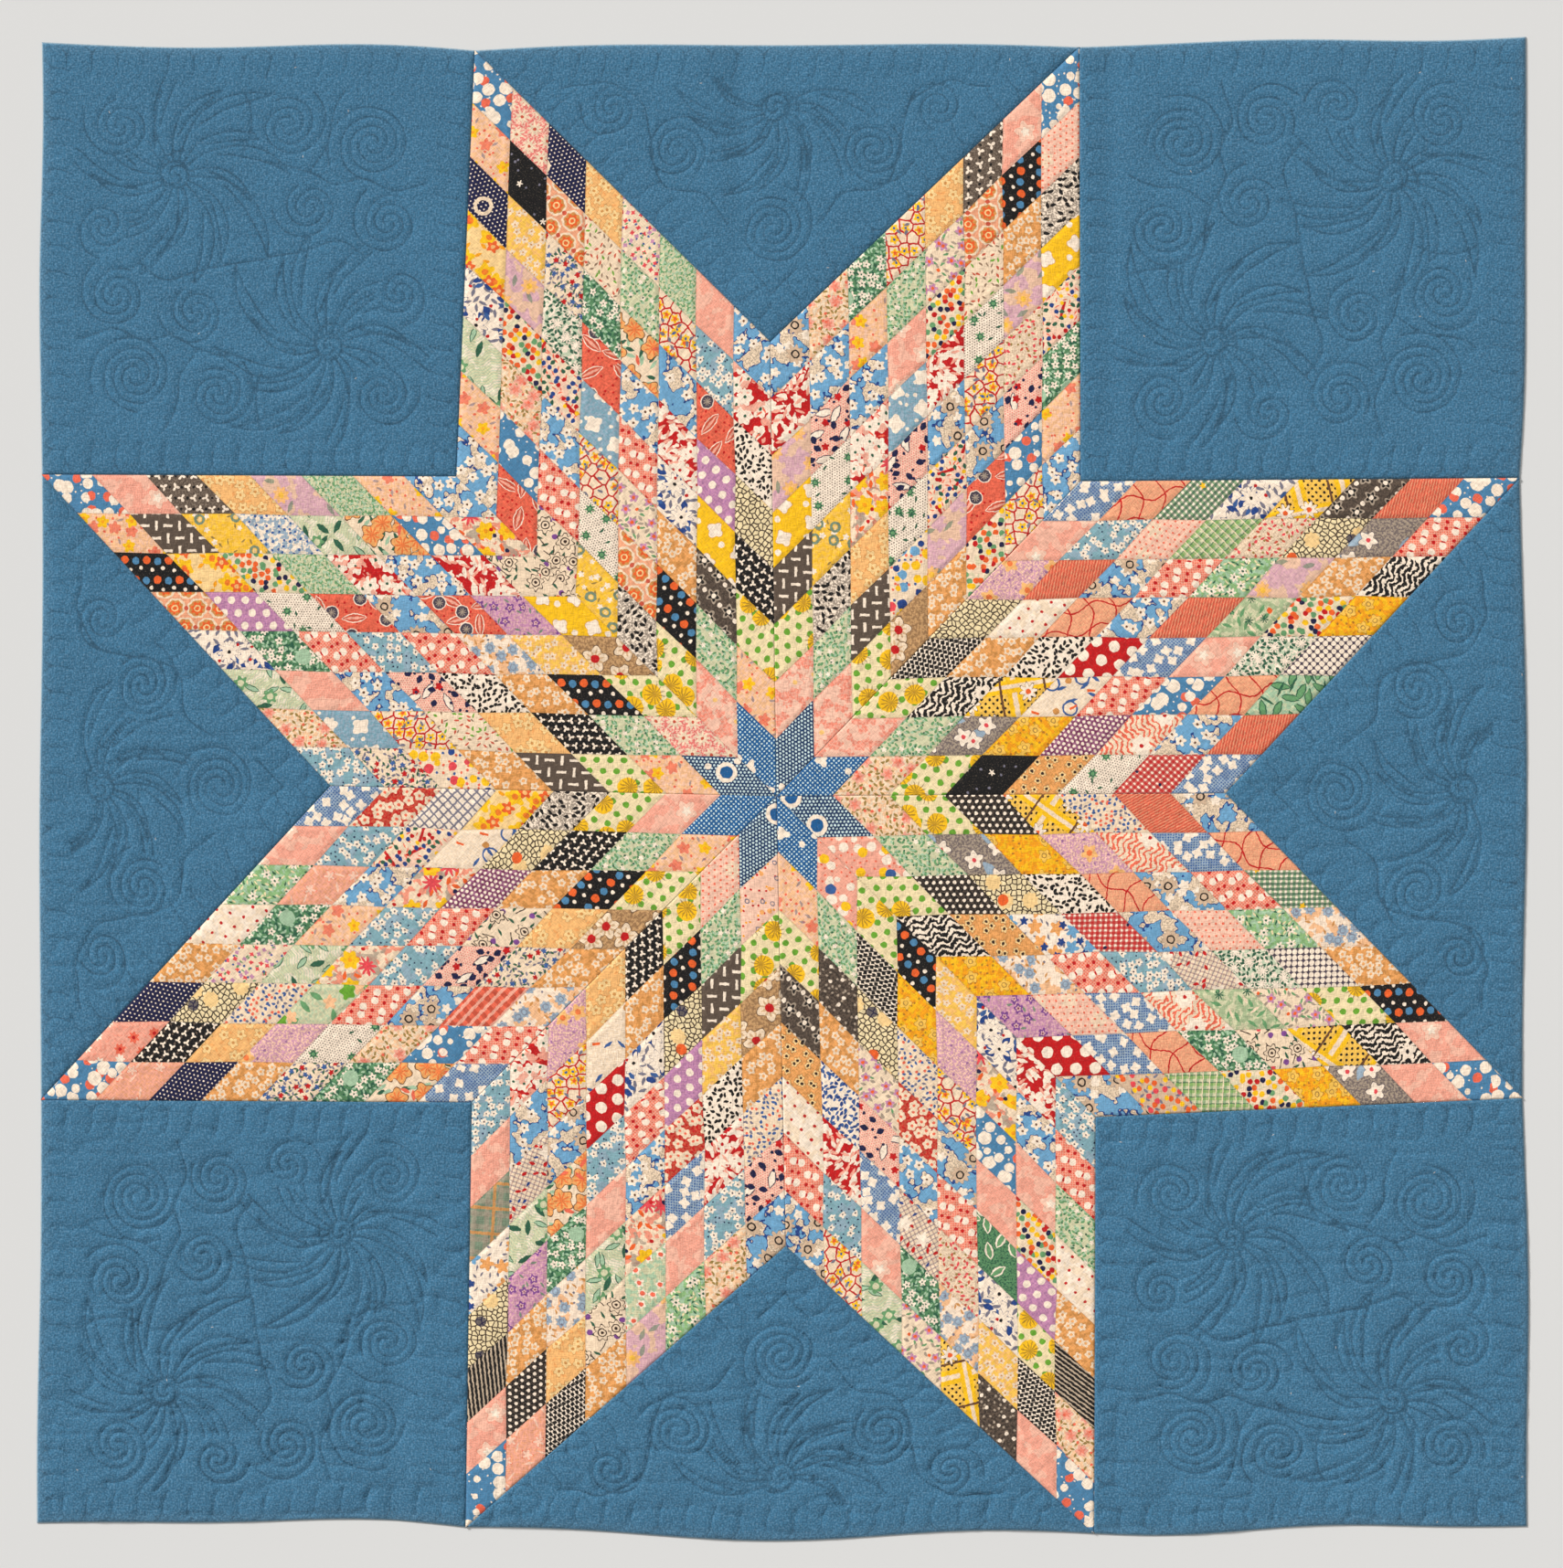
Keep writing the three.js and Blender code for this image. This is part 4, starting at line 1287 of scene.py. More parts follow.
        stripes(13, 5, "silver", 93, strength=0.5),
        stripes(26, 3.2, "amber", 3, strength=0.85),
        stripes(26, 3.2, "amber", 93, strength=0.85),
    ),
    "violet_sprig": (
        "cream",
        scatter(9, leaf(3.4, "silver", 1.4)),
        scatter(9, leaf(3.2, "green", 1.2), pick=0.5, shift=(4, 2)),
        scatter(15, flower(5.2, "mauve"), pick=0.75),
        scatter(15, dot(1.8, "orange")),
    ),
    "yellow_calico": (
        "sun",
        mottle(5, 0.52, "honey", 0.7),
        scatter(9.5, flower(4.1, "cream", 0.35), dot(1, "amber"), pick=0.8),
    ),
    "yellow_floral": (
        "honey",
        scatter(8, leaf(3, "apricot", 1.3), pick=0.6),
        scatter(12.5, flower(6.5, "amber", 0.35), flower(5.7, "lemon", 0.35), dot(1.5, "amber"), pick=0.85),
    ),
    "yellow_plaid": (
        "sun",
        grid(5.6, dot(1.4, "black")),
        stripes(46, 15, "yellow", 35),
        stripes(46, 5, "cream", 35),
        stripes(46, 13, "yellow", 125, shift=(9, 4)),
        stripes(46, 4, "cream", 125, shift=(9, 4)),
        stripes(46, 2.4, "brown", 35, shift=(12, 7)),
        scatter(
            38, flower(10.4, "brown", 0.45, 8), flower(9.4, "white", 0.45, 8), dot(2.6, "orange"),
            pick=0.75,
        ),
    ),
    "yellow_posy": (
        "lemon",
        scatter(13, leaf(4, "gold", 1.8), pick=0.6),
        scatter(20, flower(10.4, "yellow", 0.35), dot(3.2, "orange", strength=0.8), pick=0.85),
        scatter(20, flower(7, "orange"), dot(2.2, "honey"), pick=0.75, shift=(10, 4)),
    ),
    "yellow_ring": (
        "sun",
        mottle(4, 0.5, "yellow", 0.7),
        scatter(8, leaf(3, "olive"), pick=0.35),
        scatter(12, flower(3.8, "white", vary=0.3), pick=(0.3, 0.9)),
        scatter(20, ring(4.2, "lagoon", 2.8), dot(2, "lemon"), pick=0.6),
    ),
    "yellow_tulip": (
        "yellow",
        rows(34, flower(9.4, "amber", 0.3, 4), flower(8.8, "white", 0.3, 4)),
        rows(34, dot(3.2, "white"), shift=(15, 6)),
    ),
}

# Which print each patch of a star point is cut from: rows from the side next to the corner square,
# and along each row from the outer end inwards
CHARTS = {
    "star_point_nne": (
        "blue_bubble pink_pin black_petal yellow_tulip party green_meadow peach_posy blue_floral",
        "pink_bloom black_dots apricot lilac_plain rose_seed poppy_speck blue_bubble red_vine",
        "grey_sprig orange_hex leaf_seed cream_sprig red_vine grey_poppy coral_leaf confetti",
        "yellow_floral violet_sprig confetti red_star grey_poppy party lilac_plain apricot",
        "red_vine mint_sprig pink_bloom blue_tulip poppy_speck cream_sprig bubble_party rust_bloom",
        "green_meadow peach_posy blue_floral red_squares cream_berry yellow_floral grey_dash cream_leaf_dot",
        "peach_seed blue_floral poppy_speck cream_sprig yellow_ring black_petal mint_sprig pink_mottle",
        "grey_poppy red_star lilac_plain yellow_tulip grey_dash cream_leaf_dot pink_mottle navy_pin",
    ),
    "star_point_ene": (
        "blue_bubble coral_twill charcoal_bloom yellow_plaid blue_fern green_check coral_net blue_calico",
        "coral_dot slate_bloom pebble rose_seed green_plaid pink_pin teal_cloud pink_bloom",
        "black_zebra apricot lilac_plain green_floral coral_dot grey_poppy coral_twill lilac_rose",
        "gold_bloom confetti sage_leaf coral_twill blue_floral coral_net cream_pin pebble",
        "slate_grid mint_star pink_bloom blue_calico red_polka black_seed apricot black_check",
        "green_leaf coral_net blue_bubble coral_dot cream_toy yellow_plaid black_zebra cream_leaf_dot",
        "coral_twill blue_floral coral_zebra plum_net gold_bloom slate_bloom mint_sprig pink_mottle",
        "blue_calico red_check cream_sprig amber_ring black_bloom cream_leaf_dot peach_seed navy_grid",
    ),
    "star_point_ese": (
        "blue_bubble pink_bloom slate_bloom gold_bloom confetti green_plaid grey_confetti grey_poppy",
        "pink_bloom black_zebra yellow_plaid ink_rose green_meadow coral_net blue_calico red_polka",
        "black_dots cream_leaf_dot violet_sprig sage_leaf coral_zebra blue_calico pink_pin plum_sprig",
        "apricot slate_grid mint_star rose_plaid teal_cloud coral_dot blue_rose gold_bloom",
        "blue_rose green_floral pink_pin grey_poppy red_check blue_posy amber_ring black_zebra",
        "green_check coral_dot grey_poppy coral_net black_seed pebble black_pin cream_leaf_dot",
        "coral_net blue_calico coral_zebra lilac_rose gold_bloom slate_bloom mint_sprig pink_bubble",
        "grey_poppy coral_twill blue_specks yellow_plaid black_pin cream_leaf_dot peach_seed navy_pin",
    ),
    "star_point_sse": (
        "blue_bubble peach_seed black_rows apricot cream_pin mint_sprig coral_dot teal_cloud",
        "pink_bloom black_check cream_leaf_dot lilac_dot confetti pink_bloom blue_floral red_star",
        "charcoal_dot yellow_calico blue_fern forest_leaf pink_bloom blue_bubble cream_berry blue_fern",
        "yellow_plaid blue_rose rose_seed coral_dot grey_poppy red_vine lilac_rose yellow_calico",
        "violet_sprig green_meadow rose_plaid blue_floral red_calico blue_specks gold_bloom black_dots",
        "green_fern pink_bloom blue_calico poppy_speck violet_sprig pebble black_check cream_leaf_dot",
        "red_vine teal_cloud red_star blue_sprig apricot charcoal_dot mint_sprig pink_bubble",
        "grey_poppy coral_dot cream_pin amber_ring charcoal_bloom cream_leaf_dot peach_posy navy_grid",
    ),
    "star_point_ssw": (
        "blue_bubble pink_bloom black_rows pebble blue_posy teal_plaid pink_bloom teal_cloud",
        "coral_floral black_pin apricot plum_sprig green_fern rose_plaid blue_floral red_squares",
        "black_check yellow_floral blue_rose green_meadow peach_bloom grey_poppy red_vine lilac_rose",
        "apricot ink_rose green_fern pink_bloom teal_cloud red_polka cream_toy yellow_floral",
        "lilac_plain mint_rose cream_berry blue_floral coral_dot blue_fern apricot black_trefoil",
        "green_floral pink_bloom blue_calico red_calico lilac_dot pebble black_dots cream_leaf_dot",
        "peach_seed teal_cloud red_star black_seed yellow_calico grey_dash mint_sprig pink_pin",
        "grey_poppy poppy_speck blue_specks apricot rust_bloom cream_leaf_dot peach_specks navy_pin",
    ),
    "star_point_wsw": (
        "blue_bubble coral_floral dark_pin apricot berry_sprig green_meadow peach_bloom blue_calico",
        "coral_rose black_trefoil yellow_floral lilac_rose cream_sprig peach_seed blue_bubble coral_dot",
        "dark_pin pebble blue_specks green_posy coral_dot grey_poppy brick_check blue_rose",
        "apricot cream_rosebud green_fern cream_berry teal_cloud poppy_speck berry_sprig apricot",
        "cream_pin green_meadow peach_posy teal_cloud coral_dot ink_rose yellow_floral rust_bloom",
        "green_floral coral_floral blue_floral cream_berry plum_net apricot black_dots cream_leaf_dot",
        "pink_bloom teal_cloud party cream_toy pebble black_trefoil mint_sprig peach_posy",
        "blue_calico red_calico blue_check yellow_posy black_petal cream_leaf_dot pink_bloom navy_grid",
    ),
    "star_point_wnw": (
        "blue_bubble pink_bloom grey_sprig yellow_floral lilac_plain green_calico peach_posy blue_floral",
        "peach_posy grey_dash yellow_ring blue_cloud green_fern peach_bloom blue_bubble cream_berry",
        "black_dots yellow_posy confetti green_calico red_squares blue_floral red_star ink_rose",
        "orange_hex lilac_dot cream_sprig coral_leaf grey_poppy coral_leaf plum_sprig yellow_tulip",
        "blue_fern green_meadow coral_dot teal_cloud coral_dot blue_rose yellow_calico rust_bloom",
        "green_fern pink_bloom blue_floral poppy_speck black_seed apricot black_dots cream_leaf_dot",
        "peach_seed blue_tulip red_vine leaf_seed yellow_floral black_trefoil mint_sprig rose_daisy",
        "teal_cloud berry_sprig bubble_party apricot grey_dash cream_leaf_dot peach_posy navy_pin",
    ),
    "star_point_nnw": (
        "blue_bubble peach_posy dark_pin yellow_posy blue_fern green_fern peach_posy blue_floral",
        "rose_daisy black_bloom yellow_calico lilac_plain confetti peach_seed blue_bubble coral_leaf",
        "dark_pin orange_hex berry_sprig mint_star party blue_floral coral_dot ink_rose",
        "yellow_floral leaf_seed green_meadow coral_leaf blue_tulip red_vine cream_sprig yellow_ring",
        "cream_rosebud mint_sprig peach_bloom blue_floral coral_dot violet_sprig orange_hex black_petal",
        "green_calico red_vine blue_floral red_star blue_fern apricot black_dots cream_leaf_dot",
        "pink_bloom teal_cloud coral_leaf lilac_dot yellow_tulip charcoal_bloom mint_sprig pink_mottle",
        "blue_floral red_squares black_seed pebble black_trefoil cream_leaf_dot peach_posy navy_grid",
    ),
}


# Share of red, green and blue light that old cotton still gives back
AGED = (0.96, 0.82, 0.735)
DYE_DEPTH = 1.13


def linear(colour):
    """A palette colour on aged cotton, as linear light with alpha."""
    channels = [value / 255 for value in PALETTE[colour]]
    light = [c / 12.92 if c <= 0.04045 else ((c + 0.055) / 1.055) ** 2.4 for c in channels]
    return (*(kept * c**DYE_DEPTH for kept, c in zip(AGED, light)), 1)


class Field:
    """A number that varies over a surface, with the arithmetic of shader nodes."""

    def __init__(self, tree, socket):
        self.tree = tree
        self.socket = socket

    def apply(self, operation, *others):
        node = self.tree.nodes.new("ShaderNodeMath")
        node.operation = operation
        for slot, value in zip(node.inputs, (self, *others)):
            feed(slot, value)
        return Field(self.tree, node.outputs[0])

    def __add__(self, other):
        return self.apply("ADD", other)

    def __sub__(self, other):
        return self.apply("SUBTRACT", other)

    def __mul__(self, other):
        return self.apply("MULTIPLY", other)

    def __truediv__(self, other):
        return self.apply("DIVIDE", other)

    def most(self, other):
        return self.apply("MAXIMUM", other)

    def size(self):
        return self.apply("ABSOLUTE")


def feed(slot, value):
    """Links a field or a socket to an input, or sets a number on it."""
    if isinstance(value, Field):
        value.tree.links.new(slot, value.socket)
    elif isinstance(value, bpy.types.NodeSocket):
        slot.id_data.links.new(slot, value)
    else:
        slot.default_value = value


# Half width of a printed shape's soft edge, and of a blotch's, in millimetres
PRINT_EDGE = 0.35
MOTTLE_EDGE = 0.16
# How far printed outlines stray, in millimetres, and the scale of it, per millimetre
STRAY_REACH = 1.1
STRAY_SCALE = 0.3
# Spread of a repeat at random, and how far apart the rows of a half-step repeat are, in pitches
SCATTER_SPREAD = 0.75
ROW_STEP = 0.866
# Bend of a waved stripe, and the grain of a ragged one, per millimetre
STRIPE_BEND = 0.35
RAGGED_GRAIN = 0.22
# Threads of the weave per millimetre, across themselves and along
THREAD_SCALE = (0.9, 0.16)
# Length of the small wrinkles, in millimetres
WRINKLE_LENGTH = 7


class Cloth:
    """A cloth material: coordinates in millimetres, and the nodes that print and weave it."""

    def __init__(self, name, colour):
        self.material = bpy.data.materials.new(name)
        self.material.use_nodes = True
        self.tree = self.material.node_tree
        self.shader = self.tree.nodes["Principled BSDF"]
        self.x, self.y = self.weave = self.read_map("cloth")
        self.colour = colour
        self.repeats = {}

    def stray(self):
        """Makes printed outlines a little uneven."""
        made = self.node("ShaderNodeTexNoise", noise_dimensions="2D")
        feed(made.inputs["Vector"], self.vector(self.x, self.y))
        made.inputs["Scale"].default_value = STRAY_SCALE
        made.inputs["Detail"].default_value = 0
        split = self.node("ShaderNodeSeparateColor")
        feed(split.inputs[0], made.outputs["Color"])
        self.x = self.x + (Field(self.tree, split.outputs[0]) - 0.5) * STRAY_REACH
        self.y = self.y + (Field(self.tree, split.outputs[1]) - 0.5) * STRAY_REACH

    def node(self, kind, **settings):
        made = self.tree.nodes.new(kind)
        for key, value in settings.items():
            setattr(made, key, value)
        return made

    def read_map(self, label):
        split = self.node("ShaderNodeSeparateXYZ")
        feed(split.inputs[0], self.node("ShaderNodeUVMap", uv_map=label).outputs[0])
        return Field(self.tree, split.outputs[0]), Field(self.tree, split.outputs[1])

    def read_point(self, label):
        return Field(self.tree, self.node("ShaderNodeAttribute", attribute_name=label).outputs["Fac"])

    def vector(self, x, y):
        made = self.node("ShaderNodeCombineXYZ")
        feed(made.inputs[0], x)
        feed(made.inputs[1], y)
        return made.outputs[0]

    def step(self, value, low, high):
        """0 below low, 1 above high, smooth between."""
        made = self.node("ShaderNodeMapRange", interpolation_type="SMOOTHSTEP")
        for slot, number in zip(made.inputs, (value, low, high)):
            feed(slot, number)
        return Field(self.tree, made.outputs[0])

    def noise(self, x, y, detail=2.0):
        made = self.node("ShaderNodeTexNoise", noise_dimensions="2D")
        feed(made.inputs["Vector"], self.vector(x, y))
        made.inputs["Scale"].default_value = 1
        made.inputs["Detail"].default_value = detail
        return Field(self.tree, made.outputs[0])

    def turned(self, x, y, angle):
        """Coordinates turned by an angle, a number or a field, in radians."""
        if isinstance(angle, Field):
            cosine, sine = angle.apply("COSINE"), angle.apply("SINE")
        else:
            cosine, sine = math.cos(angle), math.sin(angle)
        return x * cosine + y * sine, y * cosine - x * sine

    def meshes(self, pitch, x, y, feature):
        """Uneven cells of about a pitch."""
        made = self.node("ShaderNodeTexVoronoi", voronoi_dimensions="2D", feature=feature)
        feed(made.inputs["Vector"], self.vector(x, y))
        made.inputs["Scale"].default_value = 1 / pitch
        made.inputs["Randomness"].default_value = SCATTER_SPREAD
        return made

    def cells(self, layout, pitch, shift):
        """Place in the repeat's own cell, two chance numbers for that cell, and its parity in a grid."""
        x, y = self.x + shift[0], self.y + shift[1]
        if layout == "scatter":
            spots = self.meshes(pitch, x, y, "F1")
            middle = self.node("ShaderNodeSeparateXYZ")
            feed(middle.inputs[0], spots.outputs["Position"])
            chance = self.node("ShaderNodeSeparateColor")
            feed(chance.inputs[0], spots.outputs["Color"])
            x, y = x - middle.outputs[0], y - middle.outputs[1]
            return x, y, Field(self.tree, chance.outputs[0]), Field(self.tree, chance.outputs[1]), 0
        height = pitch * ROW_STEP if layout == "half" else pitch
        row = (y / height + 0.5).apply("FLOOR")
        if layout == "half":
            x = x + row.apply("FLOORED_MODULO", 2) * (pitch / 2)
        y = y - row * height
        column = (x / pitch + 0.5).apply("FLOOR")
        chance = self.node("ShaderNodeTexWhiteNoise", noise_dimensions="2D")
        feed(chance.inputs["Vector"], self.vector(column, row))
        split = self.node("ShaderNodeSeparateColor")
        feed(split.inputs[0], chance.outputs["Color"])
        parity = (column + row).apply("FLOORED_MODULO", 2)
        x = x - column * pitch
        return x, y, Field(self.tree, split.outputs[0]), Field(self.tree, split.outputs[1]), parity

    def outline(self, row, x, y, spin, parity):
        """How far outside the printed shape a place lies, below 0 inside it."""
        shape, size, width = row["shape"], row["size"], row.get("width")
        if "vary" in row:
            size = spin * (-row["vary"] * size) + size
        if shape in ("leaf", "dash", "square"):
            turn = math.radians(row.get("turn", 0))
            if row.get("basket"):
                turn = parity * (math.pi / 2)
            elif row["layout"] == "scatter":
                turn = spin * (2 * math.pi)
            x, y = self.turned(x, y, turn)
        if shape == "dash":
            return (x.size() - size).most(y.size() - width)
        if shape == "square":
            return x.size().most(y.size()) - size
        if shape == "leaf":
            along = x / size
            return y.size() - (along * along * -width + width)
        radius = (x * x + y * y).apply("SQRT")
        if shape == "ring":
            return (radius - size).size() - width / 2
        if shape == "flower":
            angle = y.apply("ARCTAN2", x) + spin * (2 * math.pi)
            wave = (angle * row["petals"]).apply("COSINE")
            half = row["depth"] / 2
            return radius - (wave * half + (1 - half)) * size
        return radius - size

    def stripe(self, row):
        """How far outside a stripe a place lies, for straight, waved or ragged stripes."""
        shift, grain = row["shift"], RAGGED_GRAIN
        across, along = self.turned(self.x + shift[0], self.y + shift[1], math.radians(row["turn"]))
        if "wave" in row:
            across = across + (along * row.get("bend", STRIPE_BEND)).apply("SINE") * row["wave"]
        if "ragged" in row:
            across = across + (self.noise(self.x * grain, self.y * grain) - 0.5) * (row["ragged"] * 4)
        share = (across / row["pitch"]).apply("FRACT") - 0.5
        return share.size() * row["pitch"] - row["size"] / 2

    def cloud(self, pitch):
        """Smooth noise of about a pitch, worked out once."""
        if pitch not in self.repeats:
            self.repeats[pitch] = self.noise(self.x / pitch, self.y / pitch)
        return self.repeats[pitch]

    def mask(self, row):
        """How much of a layer's colour covers a place."""
        shape, pitch, size = row["shape"], row["pitch"], row["size"]
        if shape == "mottle":
            soft = MOTTLE_EDGE / pitch
            inside = self.step(self.cloud(pitch), size - soft, size + soft)
        elif shape == "contour":
            inside = self.step((self.cloud(pitch) - size).size(), row["width"], row["width"] / 2)
        elif shape == "net":
            found = self.meshes(pitch, self.x, self.y, "DISTANCE_TO_EDGE").outputs["Distance"]
            edge = Field(self.tree, found) * pitch
            inside = self.step(edge, size / 2 + PRINT_EDGE, size / 2 - PRINT_EDGE)
        elif shape == "stripe":
            inside = self.step(self.stripe(row), PRINT_EDGE, -PRINT_EDGE)
        else:
            key = (row["layout"], pitch, row["shift"])
            if key not in self.repeats:
                self.repeats[key] = self.cells(*key)
            x, y, chance, spin, parity = self.repeats[key]
            inside = self.step(self.outline(row, x, y, spin, parity), PRINT_EDGE, -PRINT_EDGE)
            if row["pick"]:
                low, high = row["pick"]
                inside = inside * chance.apply("GREATER_THAN", low) * chance.apply("LESS_THAN", high)
        return inside * row.get("strength", 1.0)

    def paint(self, mask, colour):
        """Lays a colour over what is there, where the mask says."""
        made = self.node("ShaderNodeMix", data_type="RGBA")
        feed(made.inputs[0], mask)
        feed(made.inputs[6], self.colour)
        feed(made.inputs[7], colour)
        self.colour = made.outputs[2]

    def shade(self, factor):
        """Multiplies what is there by a number field."""
        grey = self.node("ShaderNodeCombineColor")
        for slot in grey.inputs:
            feed(slot, factor)
        made = self.node("ShaderNodeMix", data_type="RGBA", blend_type="MULTIPLY")
        made.inputs[0].default_value = 1
        feed(made.inputs[6], self.colour)
        feed(made.inputs[7], grey.outputs[0])
        self.colour = made.outputs[2]

    def fade(self, length, share):
        """Makes the colour a little uneven over a length in millimetres."""
        cloud = self.noise(self.x / length, self.y / length)
        self.shade(cloud * share + (1 - share / 2))

    def finish(self, slub, wrinkle):
        """Weave, small wrinkles, roughness and bump, and the links to the shader."""
        x, y = self.weave
        across, along = THREAD_SCALE
        warp = self.noise(x * across, y * along, detail=1)
        weft = self.noise(x * along, y * across, detail=1)
        thread = warp + weft - 1
        self.shade(thread * slub + 1)
        feed(self.shader.inputs["Base Color"], self.colour)
        feed(self.shader.inputs["Roughness"], thread * 0.16 + 0.9)
        self.shader.inputs["Specular IOR Level"].default_value = 0.25
        self.shader.inputs["Sheen Weight"].default_value = 0.12
        self.shader.inputs["Sheen Roughness"].default_value = 0.6
        raised = self.node("ShaderNodeBump")
        raised.inputs["Strength"].default_value = 0.8
        raised.inputs["Distance"].default_value = MM
        crinkle = self.noise(x / WRINKLE_LENGTH, y / WRINKLE_LENGTH) * wrinkle
        feed(raised.inputs["Height"], thread * 0.25 + crinkle)
        feed(self.shader.inputs["Normal"], raised.outputs[0])
        return self.material


# Shade along the seams of a patch: how strong, and between which distances it fades, in millimetres
SEAM_SHADE = 0.22
SEAM_SHADE_REACH = (-0.2, 1.5)


def printed_cotton(name):
    ground, *groups = PRINTS[name]
    cloth = Cloth("print_" + name, linear(ground))
    cloth.stray()
    for row in itertools.chain(*groups):
        cloth.paint(cloth.mask(row), linear(row["colour"]))
    worn = cloth.noise(cloth.x * 0.7, cloth.y * 0.7, detail=3)
    cloth.paint(cloth.step(worn, 0.55, 0.8) * 0.1, linear("cream"))
    cloth.fade(40, 0.12)
    a, b = cloth.read_map("patch")
    side = (a - 0.5).size().most((b - 0.5).size()) * -1 + 0.5
    gap = side * (PATCH_SIDE * SLANT)
    cloth.shade(cloth.step(gap, *SEAM_SHADE_REACH) * SEAM_SHADE + (1 - SEAM_SHADE))
    return cloth.finish(slub=0.5, wrinkle=1.1)


# The blue cloth in linear light: its dye, its pale fibres, the thread, its worn edge, and the painted
# highlight along its fold
BLUE = (0.044, 0.167, 0.286, 1)
FIBRE = (0.2, 0.27, 0.33, 1)
THREAD = (0.03, 0.1, 0.17, 1)
WORN_EDGE = (0.2, 0.3, 0.36, 1)
FOLD_HIGHLIGHT = (0.36, 0.46, 0.5, 1)
STITCH_LENGTH = 3.1


def blue_cotton():
    cloth = Cloth("blue_cotton", BLUE)
    cloth.fade(70, 0.16)
    grain = cloth.noise(cloth.x * 0.5, cloth.y * 0.5, detail=3)
    cloth.shade(cloth.step(grain, 0.25, 0.75) * 0.5 + 0.7)
    cloth.paint(cloth.step(grain, 0.46, 0.8) * 0.4, FIBRE)
    gap = cloth.read_point("stitch_gap")
    along = cloth.read_point("stitch_along")
    # Painted shade along the stitched grooves, darker along some stretches than others
    strength = cloth.step(cloth.noise(cloth.x / 28, cloth.y / 28), 0.35, 0.7)
    groove_shade = cloth.step(gap, 2, 0)
    cloth.shade(groove_shade * (strength * -0.2 - 0.2) + 1)
    thread = cloth.step(gap, 0.9, 0.25) * cloth.step((along / STITCH_LENGTH).apply("FRACT"), 0.72, 0.62)
    cloth.paint(thread * 0.3, THREAD)
    edge = cloth.read_point("edge_gap")
    cloth.paint(cloth.step(edge, 16, 0) * 0.12, WORN_EDGE)
    # Painted highlight along the folded edge
    cloth.paint(cloth.step(edge, 1.9, 0.5) * 0.6, FOLD_HIGHLIGHT)
    (lint,) = scatter(46, leaf(1.5, "white", 0.45), pick=0.06)
    cloth.paint(cloth.mask(lint) * 0.45, linear("white"))
    return cloth.finish(slub=0.5, wrinkle=0.9)


def patch_prints(name):
    """The print of each patch of a star point, by its row and column from the middle."""
    chart = [row.split() for row in CHARTS[name]]
    last = ROWS - 1
    inner_first = STAR_POINTS[name][0].startswith("inner")
    return [
        [chart[last - (i if inner_first else j)][last - (j if inner_first else i)] for j in range(ROWS)]
        for i in range(ROWS)
    ]


def lattice_stray(plan, seed):
    """How far places stray because the corners of the patches don't meet exactly, in shares of a side."""
    random = np.random.default_rng(seed + 1)
    stray = random.uniform(-PATCH_STRAY, PATCH_STRAY, (ROWS + 1, ROWS + 1, 2)) / POINT_SIDE
    stray[[0, -1], :, 0] = 0
    stray[:, [0, -1], 1] = 0
    stray[[0, 0, -1, -1], [0, -1, 0, -1]] = 0
    cell = np.minimum((plan * ROWS).astype(int), ROWS - 1)
    t = (plan * ROWS - cell)[:, :, None]
    i, j = cell.T
    low = stray[i, j] * (1 - t[:, 0]) + stray[i + 1, j] * t[:, 0]
    high = stray[i, j + 1] * (1 - t[:, 0]) + stray[i + 1, j + 1] * t[:, 0]
    return low * (1 - t[:, 1]) + high * t[:, 1]


